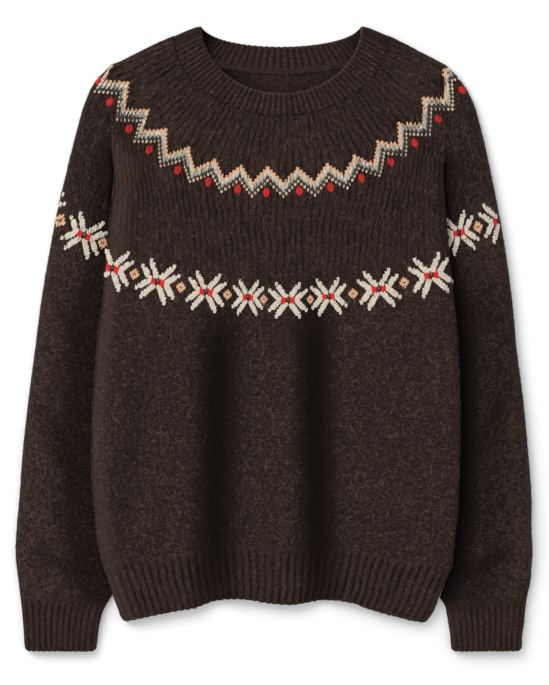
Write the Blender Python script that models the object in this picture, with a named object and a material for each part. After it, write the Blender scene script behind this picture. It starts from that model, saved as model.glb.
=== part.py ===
"""Fair isle jumper laid flat on its back, the sleeves folded down beside the body.

Lengths are in millimetres until the meshes are made. +Z is up, +Y runs to the neck, and the
jumper rests on z = 0. Each cloth piece is a closed wall with a small gap at every seam.
"""

import bmesh
import bpy
import numpy as np

MM = 0.001

PANEL_WALL = 2.8
SLEEVE_WALL = 2.4
RIB_WALL = 3.0
SEAM_GAP = 0.4
ARMHOLE_GAP = 0.5
INSIDE_START = 3.1  # how far in from a fold the inside of the front panel starts
LEAST_WALL = 0.6  # the least height of the front panel's wall
RIB_GAP = 0.8  # between a piece's last course and the piece linked below it, along y

BODY_ROLL = 14.0  # how far in from a fold the cloth on top reaches its full height
BACK_ROLL = 6.0  # how far in from a fold the cloth underneath comes down to the floor
BACK_EDGE = 2.2  # height of the back panel's folded edge over the floor
SLEEVE_EDGE = 3.2  # height at which a sleeve's top and underside meet
SLEEVE_ROLL = 5.0
CUFF_ROLL = 10.0
MARGIN_ROLL = 7.0
CREVICE = 34.0  # how far the sleeve slopes down to the body's fold
MARGIN_TOP = 8.0  # height of the sleeve's margin under the body
MARGIN_LEAST = 6.2  # the same where that margin runs out
MARGIN_CLEAR = 1.5  # between that margin and the back panel
CREASE_CLEAR = 20.0  # a sleeve's creases end this far from the body's fold
MARGIN_LIFT = 9.5  # height of the back panel over that margin
LIFT_REACH = (28.0, 56.0)  # the lift is whole to the first distance in, gone at the second

RIDGE_HEIGHT = 0.9
RIDGES = 52
HEM_RIBS = 38
CUFF_RIBS = 13
NECK_RIBS_FRONT = 48
NECK_RIBS_BACK = 38
RIB_HEIGHT = 0.9
RIB_FULLNESS = 1.6  # over 1 the crests are broader than the grooves
RIM_RIB = 0.4  # share of a rib's height that is left at a rim
RIM_ROUND = 1.0  # how far the last course of a rib is rounded down
CUFF_DROP = 0.4  # how far a cuff lies below the sleeve's crown

# Courses of the front panel from the neckline to the hem rib. The two ends are the panel's
# edges, sag is how far the middle hangs below them, and the drop goes as
# (1 - |q| ** swell) ** bend across the course.
# down the middle, left x, left y, right x, right y, sag, swell, bend, sag of the back
COURSES = (
    (0, -108, 327, 124, 327, 88, 2.0, 0.50, 42),
    (16, -126, 319, 140, 319, 96, 2.2, 0.60, 46),
    (32, -145, 310, 157, 310, 103, 2.45, 0.72, 50),
    (47, -165, 300, 177, 300, 108, 2.7, 0.87, 54),
    (57, -179, 293, 189, 292, 110, 2.8, 0.95, 56),
    (70, -178, 278, 188, 278, 109, 2.8, 1.0, 56),
    (86, -178, 256, 187, 253, 102, 2.7, 1.0, 55),
    (105, -176, 228, 186, 223, 92, 2.6, 1.0, 53),
    (129, -175, 195, 184, 184, 80, 2.4, 1.0, 50),
    (149, -173, 166, 184, 159, 72, 2.3, 1.0, 47),
    (170, -178, 125, 187, 118, 53, 2.15, 1.0, 42),
    (198, -182, 77, 191, 75, 36, 2.0, 1.0, 33),
    (226, -186, 32, 195, 31, 19, 2.0, 1.0, 19),
    (247, -190, 6, 198, 4, 13, 2.0, 1.0, 13),
    (276, -193, -31, 200, -33, 5, 2.0, 1.0, 5),
    (311, -196, -71, 201, -72, 1, 2.0, 1.0, 1),
    (345, -197, -111, 201, -112, -5, 2.0, 1.0, -5),
    (382, -197, -154, 200, -155, -11, 2.0, 1.0, -11),
    (414, -194, -191, 198, -190, -15, 2.0, 1.0, -15),
    (441, -191, -220, 195, -220, -17, 2.0, 1.0, -17),
    (465, -186, -245, 193, -248, -20, 2.0, 1.0, -20),
)
SHOULDER_COURSES = 4  # courses whose ends lie on the shoulder fold
ARMHOLE_COURSES = 4  # and the ones after them that end at the armhole seam
RIDGED_COURSES = 12  # the yoke's ridges run this far down the table
YOKE_COURSE = 8  # the front yoke ends and the front below it starts at this one

# Courses of the hem rib under the first, which follows the panels' last course
# left x, left y, right x, right y, sag, sag of the back
HEM_COURSES = (
    (-180, -263, 185, -265, -21, -23),
    (-175, -278, 179, -280, -21, -26),
    (-169, -294, 173, -296, -21, -29),
    (-164, -305, 166, -306, -20, -30),
    (-162, -307, 164, -308, -20, -30),
)
# How far the hem is drawn up by the two long troughs: x, rise
HEM_WAVE = (
    (-134, 0.0),
    (-85, 1.0),
    (-65, 6.0),
    (-50, 7.0),
    (-36, 6.5),
    (-23, 4.5),
    (-7, 1.0),
    (13, -0.5),
    (23, 0.0),
    (41, 3.5),
    (51, 6.0),
    (69, 7.5),
    (90, 6.5),
    (97, 3.5),
    (120, 0.5),
    (147, -1.0),
    (164, 0.0),
)
# Share of that wave in each course: down the middle, share
WAVE_SHARE = ((382, 0.0), (414, 0.15), (441, 0.4), (465, 0.6), (523, 1.0))

# Height of the front panel over the floor where no fold crosses it: y, height
BODY_LOFT = (
    (-308, 14.0),
    (-284, 15.0),
    (-246, 17.5),
    (-224, 21.0),
    (-175, 23.5),
    (-89, 24.0),
    (40, 23.0),
    (148, 21.5),
    (192, 18.5),
    (224, 16.0),
    (267, 13.5),
    (332, 13.0),
)
# Share of the margin's lift along the body: y, share
LIFT_SHARE = (
    (-257, 0.0),
    (-245, 0.35),
    (-235, 0.74),
    (-224, 1.0),
    (143, 1.0),
    (173, 0.5),
    (203, 0.0),
)

# Long folds of the front: top x, top y, bottom x, bottom y, half width, depth
BODY_FOLDS = (
    (-50, 60, -66, -310, 30, 10.0),
    (46, 110, 50, -310, 30, 10.5),
    (-142, 45, -149, -262, 26, 3.2),
    (128, 20, 140, -262, 30, 2.2),
)

# Crosswise sections of a sleeve after the first, which follows the armhole. Outer is the
# sleeve's free fold, inner is the fold beside or under the body, bow is how far it curves.
# outer x, outer y, inner x, inner y, bow
SLEEVE_LEFT = (
    (-194, 277, -174, 172, 3),
    (-205, 254, -176, 150, 6),
    (-214, 223, -173, 128, 10),
    (-224, 183, -168, 108, 11),
    (-234, 141, -165, 92, 11),
    (-243, 94, -164, 60, 9),
    (-252, 40, -165, 21, 4),
    (-259, -14, -168, -25, 2),
    (-266, -68, -171, -74, 0),
    (-272, -122, -174, -124, 0),
    (-276, -176, -177, -176, 0),
    (-279, -210, -182, -209, 0),
    (-280, -235, -187, -235, 0),
    (-279, -247, -187, -246, 0),
    (-277, -262, -182, -262, 0),
    (-275, -280, -177, -279, 0),
)
SLEEVE_RIGHT = (
    (203, 277, 184, 161, 3),
    (216, 254, 186, 140, 4),
    (225, 223, 182, 120, 5),
    (234, 183, 177, 103, 4),
    (244, 133, 173, 92, 2),
    (251, 92, 171, 62, 2),
    (258, 40, 171, 27, 1),
    (263, -14, 173, -22, 0),
    (270, -68, 175, -72, 0),
    (275, -122, 177, -123, 0),
    (279, -176, 178, -176, 0),
    (279, -210, 186, -209, 0),
    (280, -235, 193, -235, 0),
    (279, -247, 195, -246, 0),
    (278, -262, 189, -262, 0),
    (274, -282, 181, -282, 0),
)
ELBOW_SECTION = 7  # the upper sleeve ends and the sleeve below it starts at this one
# Height of a sleeve's crown: y, height
SLEEVE_LOFT = (
    (-340, 12.6),
    (-300, 13.4),
    (-281, 14.0),
    (-262, 15.0),
    (-230, 17.0),
    (-60, 17.5),
    (100, 17.0),
    (200, 16.0),
    (267, 13.5),
    (293, 13.0),
)
# Soft creases of the sleeves: top x, top y, bottom x, bottom y, half width, depth
SLEEVE_FOLDS = (
    (-262, -60, -214, -150, 20, 2.0),
    (-268, -228, -205, -258, 14, 2.2),
    (262, -40, 216, -130, 20, 2.0),
    (270, -222, 210, -256, 14, 2.2),
)
# Crosswise sections of a cuff after the first, which follows the sleeve's last
# outer x, outer y, inner x, inner y
CUFF_LEFT = (
    (-274, -288, -181, -288),
    (-273, -299, -186, -299),
    (-272, -310, -189, -311),
    (-271, -324, -191, -324),
    (-270, -336, -193, -337),
    (-269, -338, -193, -339),
)
CUFF_RIGHT = (
    (273, -290, 185, -290),
    (272, -299, 187, -299),
    (271, -310, 189, -310),
    (269, -324, 191, -324),
    (268, -336, 192, -337),
    (267, -338, 193, -339),
)

# The neckband: half widths, ends and depths of its seam and of its free edge
NECK_CENTRE = 8.0
NECK_SEAM = dict(half=115.4, end=326.5, front=87.0, back=40.5)
NECK_FREE = dict(half=86.5, end=339.0, front=75.5, back=24.0)
NECK_HEIGHT = 13.0
NECK_ROLL = 14.0
NECK_ROWS = (0.0, 0.07, 0.93, 1.0)
NECK_ROUND = (0.7, 0.0, 0.1, 1.1)  # how far each row is rounded down

# name, base colour, roughness
COLOURS = dict(
    front_yoke=((0.042, 0.028, 0.022), 0.95),
    front=((0.040, 0.026, 0.021), 0.95),
    back=((0.034, 0.023, 0.019), 0.95),
    upper_sleeve_left=((0.039, 0.026, 0.021), 0.95),
    upper_sleeve_right=((0.039, 0.026, 0.021), 0.95),
    sleeve_left=((0.038, 0.025, 0.020), 0.95),
    sleeve_right=((0.038, 0.025, 0.020), 0.95),
    neckband=((0.044, 0.030, 0.024), 0.95),
    hem_rib_front=((0.036, 0.024, 0.019), 0.95),
    hem_rib_back=((0.032, 0.021, 0.018), 0.95),
    cuff_left=((0.036, 0.024, 0.019), 0.95),
    cuff_right=((0.036, 0.024, 0.019), 0.95),
)


def smooth(value, start, end):
    share = np.clip((np.asarray(value, float) - start) / (end - start), 0.0, 1.0)
    return share * share * (3.0 - 2.0 * share)


def roll(distance, reach):
    """Quarter ellipse: the share of its full height that rolled cloth has at a distance in."""
    share = np.clip(np.asarray(distance, float) / reach, 0.0, 1.0)
    return np.sqrt(1.0 - (1.0 - share) ** 2)


def away(points, line):
    """Distance in plan from each point to a polyline."""
    best = np.full(len(points), 1e9)
    for start, end in zip(line[:-1], line[1:]):
        run = end - start
        share = np.clip((points - start) @ run / (run @ run), 0.0, 1.0)
        gap = points - start - share[:, None] * run
        best = np.minimum(best, np.hypot(gap[:, 0], gap[:, 1]))
    return best


def of_table(table, value):
    keys, values = np.array(table, float).T
    return np.interp(value, keys, values)


def folds(points, table):
    """Depth of the folds at each point: bell-shaped across, fading in and partly out again."""
    depth = np.zeros(len(points))
    for top_x, top_y, end_x, end_y, half, deep in table:
        top = np.array((top_x, top_y))
        run = np.array((end_x, end_y)) - top
        share = (points - top) @ run / (run @ run)
        gap = points - top - np.clip(share, 0.0, 1.0)[:, None] * run
        across = np.clip(np.hypot(gap[:, 0], gap[:, 1]) / half, 0.0, 1.0)
        along = smooth(share, -0.05, 0.45) * (1.0 - 0.45 * smooth(share, 0.78, 0.98))
        depth += deep * (0.5 + 0.5 * np.cos(np.pi * across)) * along
    return depth


# The front panel's armholes are straight: top and bottom of each
_armhole_rows = COURSES[SHOULDER_COURSES], COURSES[SHOULDER_COURSES + ARMHOLE_COURSES]
ARMHOLES = tuple(tuple(row[k : k + 2] for row in _armhole_rows) for k in (1, 3))


def course_ends(number):
    left_x, left_y, right_x, right_y = COURSES[number][1:5]
    if SHOULDER_COURSES < number < SHOULDER_COURSES + ARMHOLE_COURSES:
        left_x, right_x = (
            np.interp(y, (bottom[1], top[1]), (bottom[0], top[0]))
            for (top, bottom), y in zip(ARMHOLES, (left_y, right_y))
        )
    return left_x, left_y, right_x, right_y


def after_armhole(table, armhole, outward):
    """A sleeve's sections with the first one, beside the armhole."""
    (top_x, top_y), (bottom_x, bottom_y) = armhole
    move = outward * ARMHOLE_GAP
    return ((top_x + move, top_y, bottom_x + move, bottom_y, 0), *table)


def after_edge(table, edge):
    """A rib's rows with the first one, a small gap below the row that it is linked to."""
    return ((edge[0], edge[1] - RIB_GAP, edge[2], edge[3] - RIB_GAP, *edge[4:]), *table)


SLEEVES = dict(
    sleeve_left=after_armhole(SLEEVE_LEFT, ARMHOLES[0], -1),
    sleeve_right=after_armhole(SLEEVE_RIGHT, ARMHOLES[1], 1),
)
CUFFS = dict(
    cuff_left=after_edge(CUFF_LEFT, SLEEVE_LEFT[-1][:4]),
    cuff_right=after_edge(CUFF_RIGHT, SLEEVE_RIGHT[-1][:4]),
)
HEM = after_edge(HEM_COURSES, (*COURSES[-1][1:6], COURSES[-1][8]))

# The folds that bound the body and the sleeves, in plan
_body = np.array([course_ends(number) for number in range(len(COURSES))], float)
_shoulder = _body[: SHOULDER_COURSES + 1]
_side = np.vstack((_body[SHOULDER_COURSES + ARMHOLE_COURSES :], np.array(HEM, float)[:, :4]))
SHOULDER_LINES = (
    np.vstack((_shoulder[:, 0:2], np.array(SLEEVES["sleeve_left"])[:, 0:2])),
    np.vstack((_shoulder[:, 2:4], np.array(SLEEVES["sleeve_right"])[:, 0:2])),
)
SIDE_LINES = (_side[:, 0:2], _side[:, 2:4])


def from_sides(points):
    return np.minimum(away(points, SIDE_LINES[0]), away(points, SIDE_LINES[1]))


def from_shoulders(points):
    return np.minimum(away(points, SHOULDER_LINES[0]), away(points, SHOULDER_LINES[1]))


def back_height(points):
    """Underside of the back panel: on the floor, up over the sleeves' margins at the sides."""
    side = from_sides(points)
    edge = np.minimum(side, from_shoulders(points))
    lift = MARGIN_LIFT * of_table(LIFT_SHARE, points[:, 1]) * (1.0 - smooth(side, *LIFT_REACH))
    return lift + BACK_EDGE * (1.0 - roll(edge, BACK_ROLL))


def front_height(points, wall=0.0):
    """Face of the front panel, or its inside where wall is the cloth's thickness."""
    lift = MARGIN_LIFT * of_table(LIFT_SHARE, points[:, 1])
    near_side = 1.0 - smooth(from_sides(points), 0.0, BODY_ROLL)
    seam = BACK_EDGE + PANEL_WALL + SEAM_GAP + lift * near_side
    height = of_table(BODY_LOFT, points[:, 1]) - folds(points, BODY_FOLDS) - wall
    rise = roll(from_sides(points) - wall, BODY_ROLL - wall)
    rise = rise * roll(from_shoulders(points) - wall, BODY_ROLL - wall)
    return seam + (height - seam) * rise


def course(ends, sag, swell, bend, wave=0.0):
    """Plan curve of one course, as many points from its left end to its right end."""
    q = -np.cos(np.linspace(0.0, np.pi, 241))
    share = 0.5 + 0.5 * q
    x = ends[0] + (ends[2] - ends[0]) * share
    drop = sag * np.clip(1.0 - np.abs(q) ** swell, 0.0, 1.0) ** bend
    y = ends[1] + (ends[3] - ends[1]) * share - drop
    return np.column_stack((x, y + wave * of_table(HEM_WAVE, x)))


def lengths_along(curve):
    steps = np.hypot(*np.diff(curve, axis=0).T)
    return np.concatenate(((0.0,), np.cumsum(steps)))


def spread(curve, edges, cells, parts, edge_start=0.0):
    """Points along a curve: set distances in from both ends, then even cells between them.

    Returns the points and their places, which are the same for every curve with these counts.
    """
    along = lengths_along(curve)
    total = along[-1]
    near = edge_start + np.array(edges, float) * (edges[-1] - edge_start) / edges[-1]
    even = np.linspace(near[-1], total - near[-1], cells * parts + 1)
    at = np.concatenate((near[:-1], even, (total - near[:-1])[::-1]))
    points = np.column_stack([np.interp(at, along, curve[:, k]) for k in (0, 1)])
    count = len(edges) - 1
    middle = count + np.arange(cells * parts + 1) / parts
    places = np.concatenate((np.arange(count), middle, count + cells + 1 + np.arange(count)))
    return points, places


class Wall:
    """A closed wall of cloth: rows of points on one face and rows on the other."""

    def __init__(self, name, closed):
        self.name = name
        self.closed = closed
        self.points = []
        self.faces = []

    def row(self, points, places):
        first = len(self.points)
        self.points.extend(map(tuple, points))
        numbers = list(range(first, first + len(points)))
        places = list(places)
        if self.closed:
            numbers.append(first)
            places.append(places[0] + self.closed)
        return numbers, places

    def join(self, one, two):
        """Faces between two rows, which may hold different numbers of points."""
        (a, at_a), (b, at_b) = one, two
        if len(a) == len(b):
            for k in range(len(a) - 1):
                self.faces.append((a[k], b[k], b[k + 1], a[k + 1]))
            return
        i = j = 0
        while i < len(a) - 1 or j < len(b) - 1:
            next_a = at_a[i + 1] if i < len(a) - 1 else 1e9
            next_b = at_b[j + 1] if j < len(b) - 1 else 1e9
            if next_a < next_b:
                self.faces.append((a[i], b[j], a[i + 1]))
                i += 1
            else:
                self.faces.append((a[i], b[j], b[j + 1]))
                j += 1

    def build(self, face_rows, lining_rows):
        for one, two in zip(face_rows[:-1], face_rows[1:]):
            self.join(one, two)
        for one, two in zip(lining_rows[:-1], lining_rows[1:]):
            self.join(two, one)
        self.join(lining_rows[0], face_rows[0])
        self.join(face_rows[-1], lining_rows[-1])
        if not self.closed:
            for end in (0, -1):
                rim = [row[0][end] for row in face_rows]
                back = [row[0][end] for row in lining_rows]
                for k in range(len(rim) - 1):
                    quad = (rim[k], back[k], back[k + 1], rim[k + 1])
                    self.faces.append(quad if end == 0 else quad[::-1])
        return self.make_object()

    def make_object(self):
        mesh = bpy.data.meshes.new(self.name)
        mesh.from_pydata([tuple(c * MM for c in p) for p in self.points], [], self.faces)
        made = bmesh.new()
        made.from_mesh(mesh)
        bmesh.ops.triangulate(made, faces=made.faces[:])
        bmesh.ops.recalc_face_normals(made, faces=made.faces[:])
        made.to_mesh(mesh)
        made.free()
        obj = bpy.data.objects.new(self.name, mesh)
        mesh.materials.append(cloth_material(self.name))
        return obj


def cloth_material(name):
    colour, roughness = COLOURS[name]
    material = bpy.data.materials.new(name)
    material.use_nodes = True
    shader = material.node_tree.nodes["Principled BSDF"]
    shader.inputs["Base Color"].default_value = (*colour, 1.0)
    shader.inputs["Roughness"].default_value = roughness
    return material


def ribs(places, first, last, count):
    """1 on the crest of a rib and 0 in the groove, for places between first and last."""
    turn = (np.asarray(places, float) - first) / (last - first) * count
    inside = (turn > 1e-6) & (turn < count - 1e-6)
    wave = np.clip(RIB_FULLNESS * (0.5 - 0.5 * np.cos(2 * np.pi * turn)), 0.0, 1.0)
    return np.where(inside, wave, 0.0)


FRONT_EDGES = (0.0, 1.1, 4.3, 9.2, 15.4)
FRONT_CELLS = 26
BACK_EDGES = (0.0, 1.6, 6.5, 13.0, 20.0, 28.0, 37.0, 47.0, 57.0)
BACK_CELLS = 12


def front_piece(name, first, last):
    """The front panel from one course to another, a seam's gap lower where it isn't the first."""
    wall = Wall(name, 0)
    face, lining = [], []
    for number in range(first, last + 1):
        row = COURSES[number]
        curve = course(course_ends(number), *row[5:8], wave=of_table(WAVE_SHARE, row[0]))
        curve[:, 1] -= RIB_GAP if number == first > 0 else 0.0
        at_armhole = SHOULDER_COURSES < number < SHOULDER_COURSES + ARMHOLE_COURSES
        ridged = number < RIDGED_COURSES
        plan, places = spread(curve, FRONT_EDGES, FRONT_CELLS, 4 if ridged else 1)
        ends = len(FRONT_EDGES) - 1
        height = front_height(plan)
        if ridged:
            fade = 1.0 if number < RIDGED_COURSES - 1 else 0.5
            height += RIDGE_HEIGHT * fade * ribs(places, ends, ends + FRONT_CELLS, RIDGES)
        face.append(wall.row(np.column_stack((plan, height)), places))
        start = 0.0 if at_armhole else INSIDE_START
        plan, places = spread(curve, FRONT_EDGES, FRONT_CELLS, 1, edge_start=start)
        height = np.minimum(front_height(plan, PANEL_WALL), front_height(plan) - LEAST_WALL)
        lining.append(wall.row(np.column_stack((plan, height)), places))
    return wall.build(face, lining)


def back_panel():
    wall = Wall("back", 0)
    under, upper = [], []
    for number, row in enumerate(COURSES):
        curve = course(course_ends(number), row[8], *row[6:8])
        plan, places = spread(curve, BACK_EDGES, BACK_CELLS, 1)
        height = back_height(plan)
        under.append(wall.row(np.column_stack((plan, height)), places))
        upper.append(wall.row(np.column_stack((plan, height + PANEL_WALL)), places))
    return wall.build(upper, under)


def hem_front():
    wall = Wall("hem_rib_front", 0)
    face, lining = [], []
    shares = np.linspace(of_table(WAVE_SHARE, COURSES[-1][0]), 1.0, len(HEM))
    ends = len(FRONT_EDGES) - 1
    for number, row in enumerate(HEM):
        curve = course(row[0:4], row[4], 2.0, 1.0, wave=shares[number])
        last = number == len(HEM) - 1
        plan, places = spread(curve, FRONT_EDGES, HEM_RIBS, 3)
        raised = RIB_HEIGHT * ribs(places, ends, ends + HEM_RIBS, HEM_RIBS)
        rounded = (RIM_ROUND if last else 0.0) * roll(from_sides(plan), BODY_ROLL)
        height = front_height(plan) + raised * (RIM_RIB if last else 1.0) - rounded
        face.append(wall.row(np.column_stack((plan, height)), places))
        plan, places = spread(curve, FRONT_EDGES, HEM_RIBS, 1, edge_start=INSIDE_START)
        rounded = (0.5 * RIM_ROUND if last else 0.0) * roll(from_sides(plan), BODY_ROLL)
        height = front_height(plan, PANEL_WALL) + rounded
        lining.append(wall.row(np.column_stack((plan, height)), places))
    return wall.build(face, lining)


def hem_back():
    wall = Wall("hem_rib_back", 0)
    under, upper = [], []
    for row in HEM:
        plan, places = spread(course(row[0:4], row[5], 2.0, 1.0), BACK_EDGES, BACK_CELLS, 1)
        height = back_height(plan)
        under.append(wall.row(np.column_stack((plan, height)), places))
        upper.append(wall.row(np.column_stack((plan, height + PANEL_WALL)), places))
    return wall.build(upper, under)


def across(section, shares, inset=(0.0, 0.0)):
    """Plan points across a sleeve's section, from the outer fold to the inner one."""
    outer, inner, bow = np.array(section[0:2]), np.array(section[2:4]), section[4]
    run = inner - outer
    length = np.hypot(*run)
    shares = inset[0] / length + np.asarray(shares) * (1.0 - sum(inset) / length)
    side = np.array((run[1], -run[0])) / length
    side = side if side[1] < 0 or abs(side[1]) < abs(side[0]) and side[0] * outer[0] > 0 else -side
    bulge = (bow * 4.0 * shares * (1.0 - shares))[:, None] * side
    return outer + shares[:, None] * run + bulge


TOP_SHARES = (
    0.0, 0.012, 0.045, 0.1, 0.17, 0.27, 0.38, 0.49, 0.6, 0.7, 0.79, 0.86, 0.92, 0.955, 0.982, 1.0,
)
UNDER_SHARES = (0.985, 0.94, 0.7, 0.5, 0.3, 0.06, 0.015)


def sleeve_height(points, outer_line, inner_line, near_armhole, wall=0.0):
    side = SIDE_LINES[0] if outer_line[0][0] < 0 else SIDE_LINES[1]
    outward = -1.0 if outer_line[0][0] < 0 else 1.0
    fold_x = np.interp(points[:, 1], side[::-1, 1], side[::-1, 0])
    below = points[:, 1] < side[0][1]
    inside = below & ((points[:, 0] - fold_x) * outward < 0.0)
    clear = np.where(inside, 0.0, away(points, side))
    loft = of_table(SLEEVE_LOFT, points[:, 1])
    lift = MARGIN_LIFT * of_table(LIFT_SHARE, points[:, 1])
    margin = np.clip(lift - MARGIN_CLEAR, MARGIN_LEAST, MARGIN_TOP)
    margin = np.where(below, margin, MARGIN_TOP)
    full = margin + (loft - margin) * smooth(clear, 0.0, CREVICE)
    full = full * (1.0 - near_armhole) + of_table(BODY_LOFT, points[:, 1]) * near_armhole
    full -= folds(points, SLEEVE_FOLDS) * smooth(clear, 0.0, CREASE_CLEAR)
    inner_reach = MARGIN_ROLL + (BODY_ROLL - MARGIN_ROLL) * near_armhole
    rise = roll(away(points, outer_line) - wall, BODY_ROLL - wall)
    rise = rise * roll(away(points, inner_line) - wall, inner_reach - wall)
    return SLEEVE_EDGE + (full - wall - SLEEVE_EDGE) * rise


def under_height(points, outer_line, inner_line, wall=0.0):
    edge = np.minimum(away(points, outer_line), away(points, inner_line)) - wall
    return wall + (SLEEVE_EDGE - wall) * (1.0 - roll(edge, SLEEVE_ROLL - wall * 0.5))


SLANT_MOST = 2.2
ARMHOLE_SECTIONS = 3.5  # a sleeve has the body's height at the armhole and its own from here


def slant(line, number, run):
    """1 / sine of the angle at which a section meets its fold."""
    before, after = line[max(number - 1, 0)], line[min(number + 1, len(line) - 1)]
    along = (after - before) / np.hypot(*(after - before))
    run = run / np.hypot(*run)
    return min(1.0 / abs(along[0] * run[1] - along[1] * run[0]), SLANT_MOST)


def sleeve_piece(name, sections, first, last):
    """A sleeve from one section to another, a seam's gap lower where it isn't the first."""
    wall = Wall(name, len(TOP_SHARES) + len(UNDER_SHARES))
    table = np.array(sections, float)
    outer_line, inner_line = table[:, 0:2], table[:, 2:4]
    face, lining = [], []
    for number in range(first, last + 1):
        near = float(1.0 - smooth(number, 0.0, ARMHOLE_SECTIONS))
        run = inner_line[number] - outer_line[number]
        insets = [SLEEVE_WALL * slant(line, number, run) for line in (outer_line, inner_line)]
        for rows, cloth, inset in ((face, 0.0, (0.0, 0.0)), (lining, SLEEVE_WALL, insets)):
            top = across(sections[number], TOP_SHARES, inset)
            under = across(sections[number], UNDER_SHARES, inset)
            z_top = sleeve_height(top, outer_line, inner_line, near, cloth)
            z_under = under_height(under, outer_line, inner_line, cloth)
            plan = np.vstack((top, under))
            plan[:, 1] -= RIB_GAP if number == first > 0 else 0.0
            height = np.concatenate((z_top, z_under))
            rows.append(wall.row(np.column_stack((plan, height)), range(len(plan))))
    return wall.build(face, lining)


CUFF_EDGES = (0.0, 0.014, 0.055, 0.11)
CUFF_UNDER = (0.985, 0.93, 0.65, 0.35, 0.07, 0.015)
CUFF_PLAIN_CELLS = 9
CUFF_SLANT = 1.05  # the cuff's folds are this far from square to its sections


def cuff(name):
    sections = CUFFS[name]
    edge = CUFF_EDGES
    flat = 1.0 - 2.0 * edge[-1]
    fine = edge[-1] + flat * np.arange(CUFF_RIBS * 3 + 1) / (CUFF_RIBS * 3)
    plain = edge[-1] + flat * np.arange(CUFF_PLAIN_CELLS + 1) / CUFF_PLAIN_CELLS
    ends = len(edge) - 1
    wall = Wall(name, 2 * ends + CUFF_RIBS + 1 + len(CUFF_UNDER))
    table = np.array(sections, float)
    outer_line, inner_line = table[:, 0:2], table[:, 2:4]
    face, lining = [], []
    for number, section in enumerate(sections):
        last = number == len(sections) - 1
        section = (*section, 0.0)
        for rows, cloth, middle in ((face, 0.0, fine), (lining, RIB_WALL, plain)):
            inset = (cloth * CUFF_SLANT, cloth * CUFF_SLANT)
            shares = np.concatenate((edge[:-1], middle, 1.0 - np.array(edge[:-1])[::-1]))
            top = across(section, shares, inset)
            rise = roll(away(top, outer_line) - cloth, CUFF_ROLL - cloth)
            rise = rise * roll(away(top, inner_line) - cloth, CUFF_ROLL - cloth)
            loft = of_table(SLEEVE_LOFT, top[:, 1]) - CUFF_DROP - cloth
            z_top = SLEEVE_EDGE + (loft - SLEEVE_EDGE) * rise
            places = ends + np.arange(len(middle)) * CUFF_RIBS / (len(middle) - 1)
            places = np.concatenate((range(ends), places, ends + CUFF_RIBS + 1 + np.arange(ends)))
            if cloth == 0.0:
                raised = RIB_HEIGHT * ribs(places, ends, ends + CUFF_RIBS, CUFF_RIBS)
                z_top += raised * (RIM_RIB if last else 1.0) - (RIM_ROUND if last else 0.0) * rise
            under = across(section, CUFF_UNDER, inset)
            z_under = under_height(under, outer_line, inner_line, cloth)
            plan = np.vstack((top, under))
            height = np.concatenate((z_top, z_under))
            under_places = 2 * ends + CUFF_RIBS + 1 + np.arange(len(CUFF_UNDER))
            places = np.concatenate((places, under_places))
            rows.append(wall.row(np.column_stack((plan, height)), places))
    return wall.build(face, lining)


NECK_INWARD = (0.4, -0.917)  # the way in from the neckband's left end, x turned for the right


def neck_point(angle, share, inner):
    """A point of the neckband; angle 0..pi runs along the front, pi..2 pi along the back."""
    at_front = np.sin(angle) >= 0.0
    sine = np.abs(np.sin(angle))
    plan = []
    for ring in (NECK_SEAM, NECK_FREE):
        depth = np.where(at_front, ring["front"], ring["back"])
        x = NECK_CENTRE - ring["half"] * np.cos(angle)
        plan.append(np.column_stack((x, ring["end"] - depth * sine)))
    points = plan[0] + share * (plan[1] - plan[0])
    drop = np.where(at_front, NECK_SEAM["front"], NECK_SEAM["back"]) * sine
    half = NECK_HEIGHT / 2.0
    way = np.where(at_front, 1.0, -1.0)
    if inner:
        fade = RIB_WALL * (1.0 - np.clip(drop / NECK_ROLL, 0.0, 1.0))
        points[:, 0] += fade * NECK_INWARD[0] * np.sign(np.cos(angle))
        points[:, 1] += fade * NECK_INWARD[1]
        reach = NECK_ROLL - RIB_WALL
        height = half + way * (half - RIB_WALL) * roll(drop * reach / NECK_ROLL, reach)
    else:
        height = half + way * half * roll(drop, NECK_ROLL)
    return np.column_stack((points, height))


NECK_EDGES = np.array((0.0, 0.05, 0.16, 0.32)) * NECK_ROLL / 30.0
NECK_PLAIN_CELLS = 24


def neckband():
    """The ring's right side is up at the front and down on the floor at the back."""
    near = np.arcsin(NECK_EDGES)
    first = near[-1]
    halves = [near[:-1], np.pi - near[:-1]]
    both = np.concatenate(halves + [np.pi + half for half in halves])
    plain = np.linspace(0.0, np.pi, NECK_PLAIN_CELLS + 1)[1:-1]
    rib_front = np.linspace(first, np.pi - first, NECK_RIBS_FRONT * 3 + 1)
    rib_back = np.linspace(first, np.pi - first, NECK_RIBS_BACK * 3 + 1) + np.pi
    outer_angles = np.concatenate((both, rib_front, plain + np.pi))
    inner_angles = np.concatenate((both, rib_back, plain))
    wall = Wall("neckband", 2.0 * np.pi)
    face, lining = [], []
    for share, rounded in zip(NECK_ROWS, NECK_ROUND):
        for rows, angles, inner in ((face, outer_angles, False), (lining, inner_angles, True)):
            angles = np.unique(np.round(angles % (2.0 * np.pi), 9))
            points = neck_point(angles, share, inner)
            if inner:
                raised = ribs(angles, np.pi + first, 2 * np.pi - first, NECK_RIBS_BACK)
            else:
                raised = ribs(angles, first, np.pi - first, NECK_RIBS_FRONT)
            height = RIB_HEIGHT * raised * (1.0 if rounded < 0.5 else RIM_RIB)
            level = np.clip(np.abs(points[:, 2] - NECK_HEIGHT / 2.0) * 2.0 / NECK_HEIGHT, 0.0, 1.0)
            up = (np.sin(angles) >= 0.0) != inner
            points[:, 2] += np.where(up, height - rounded * level, 0.0)
            rows.append(wall.row(points, angles))
    return wall.build(face, lining)


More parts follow.
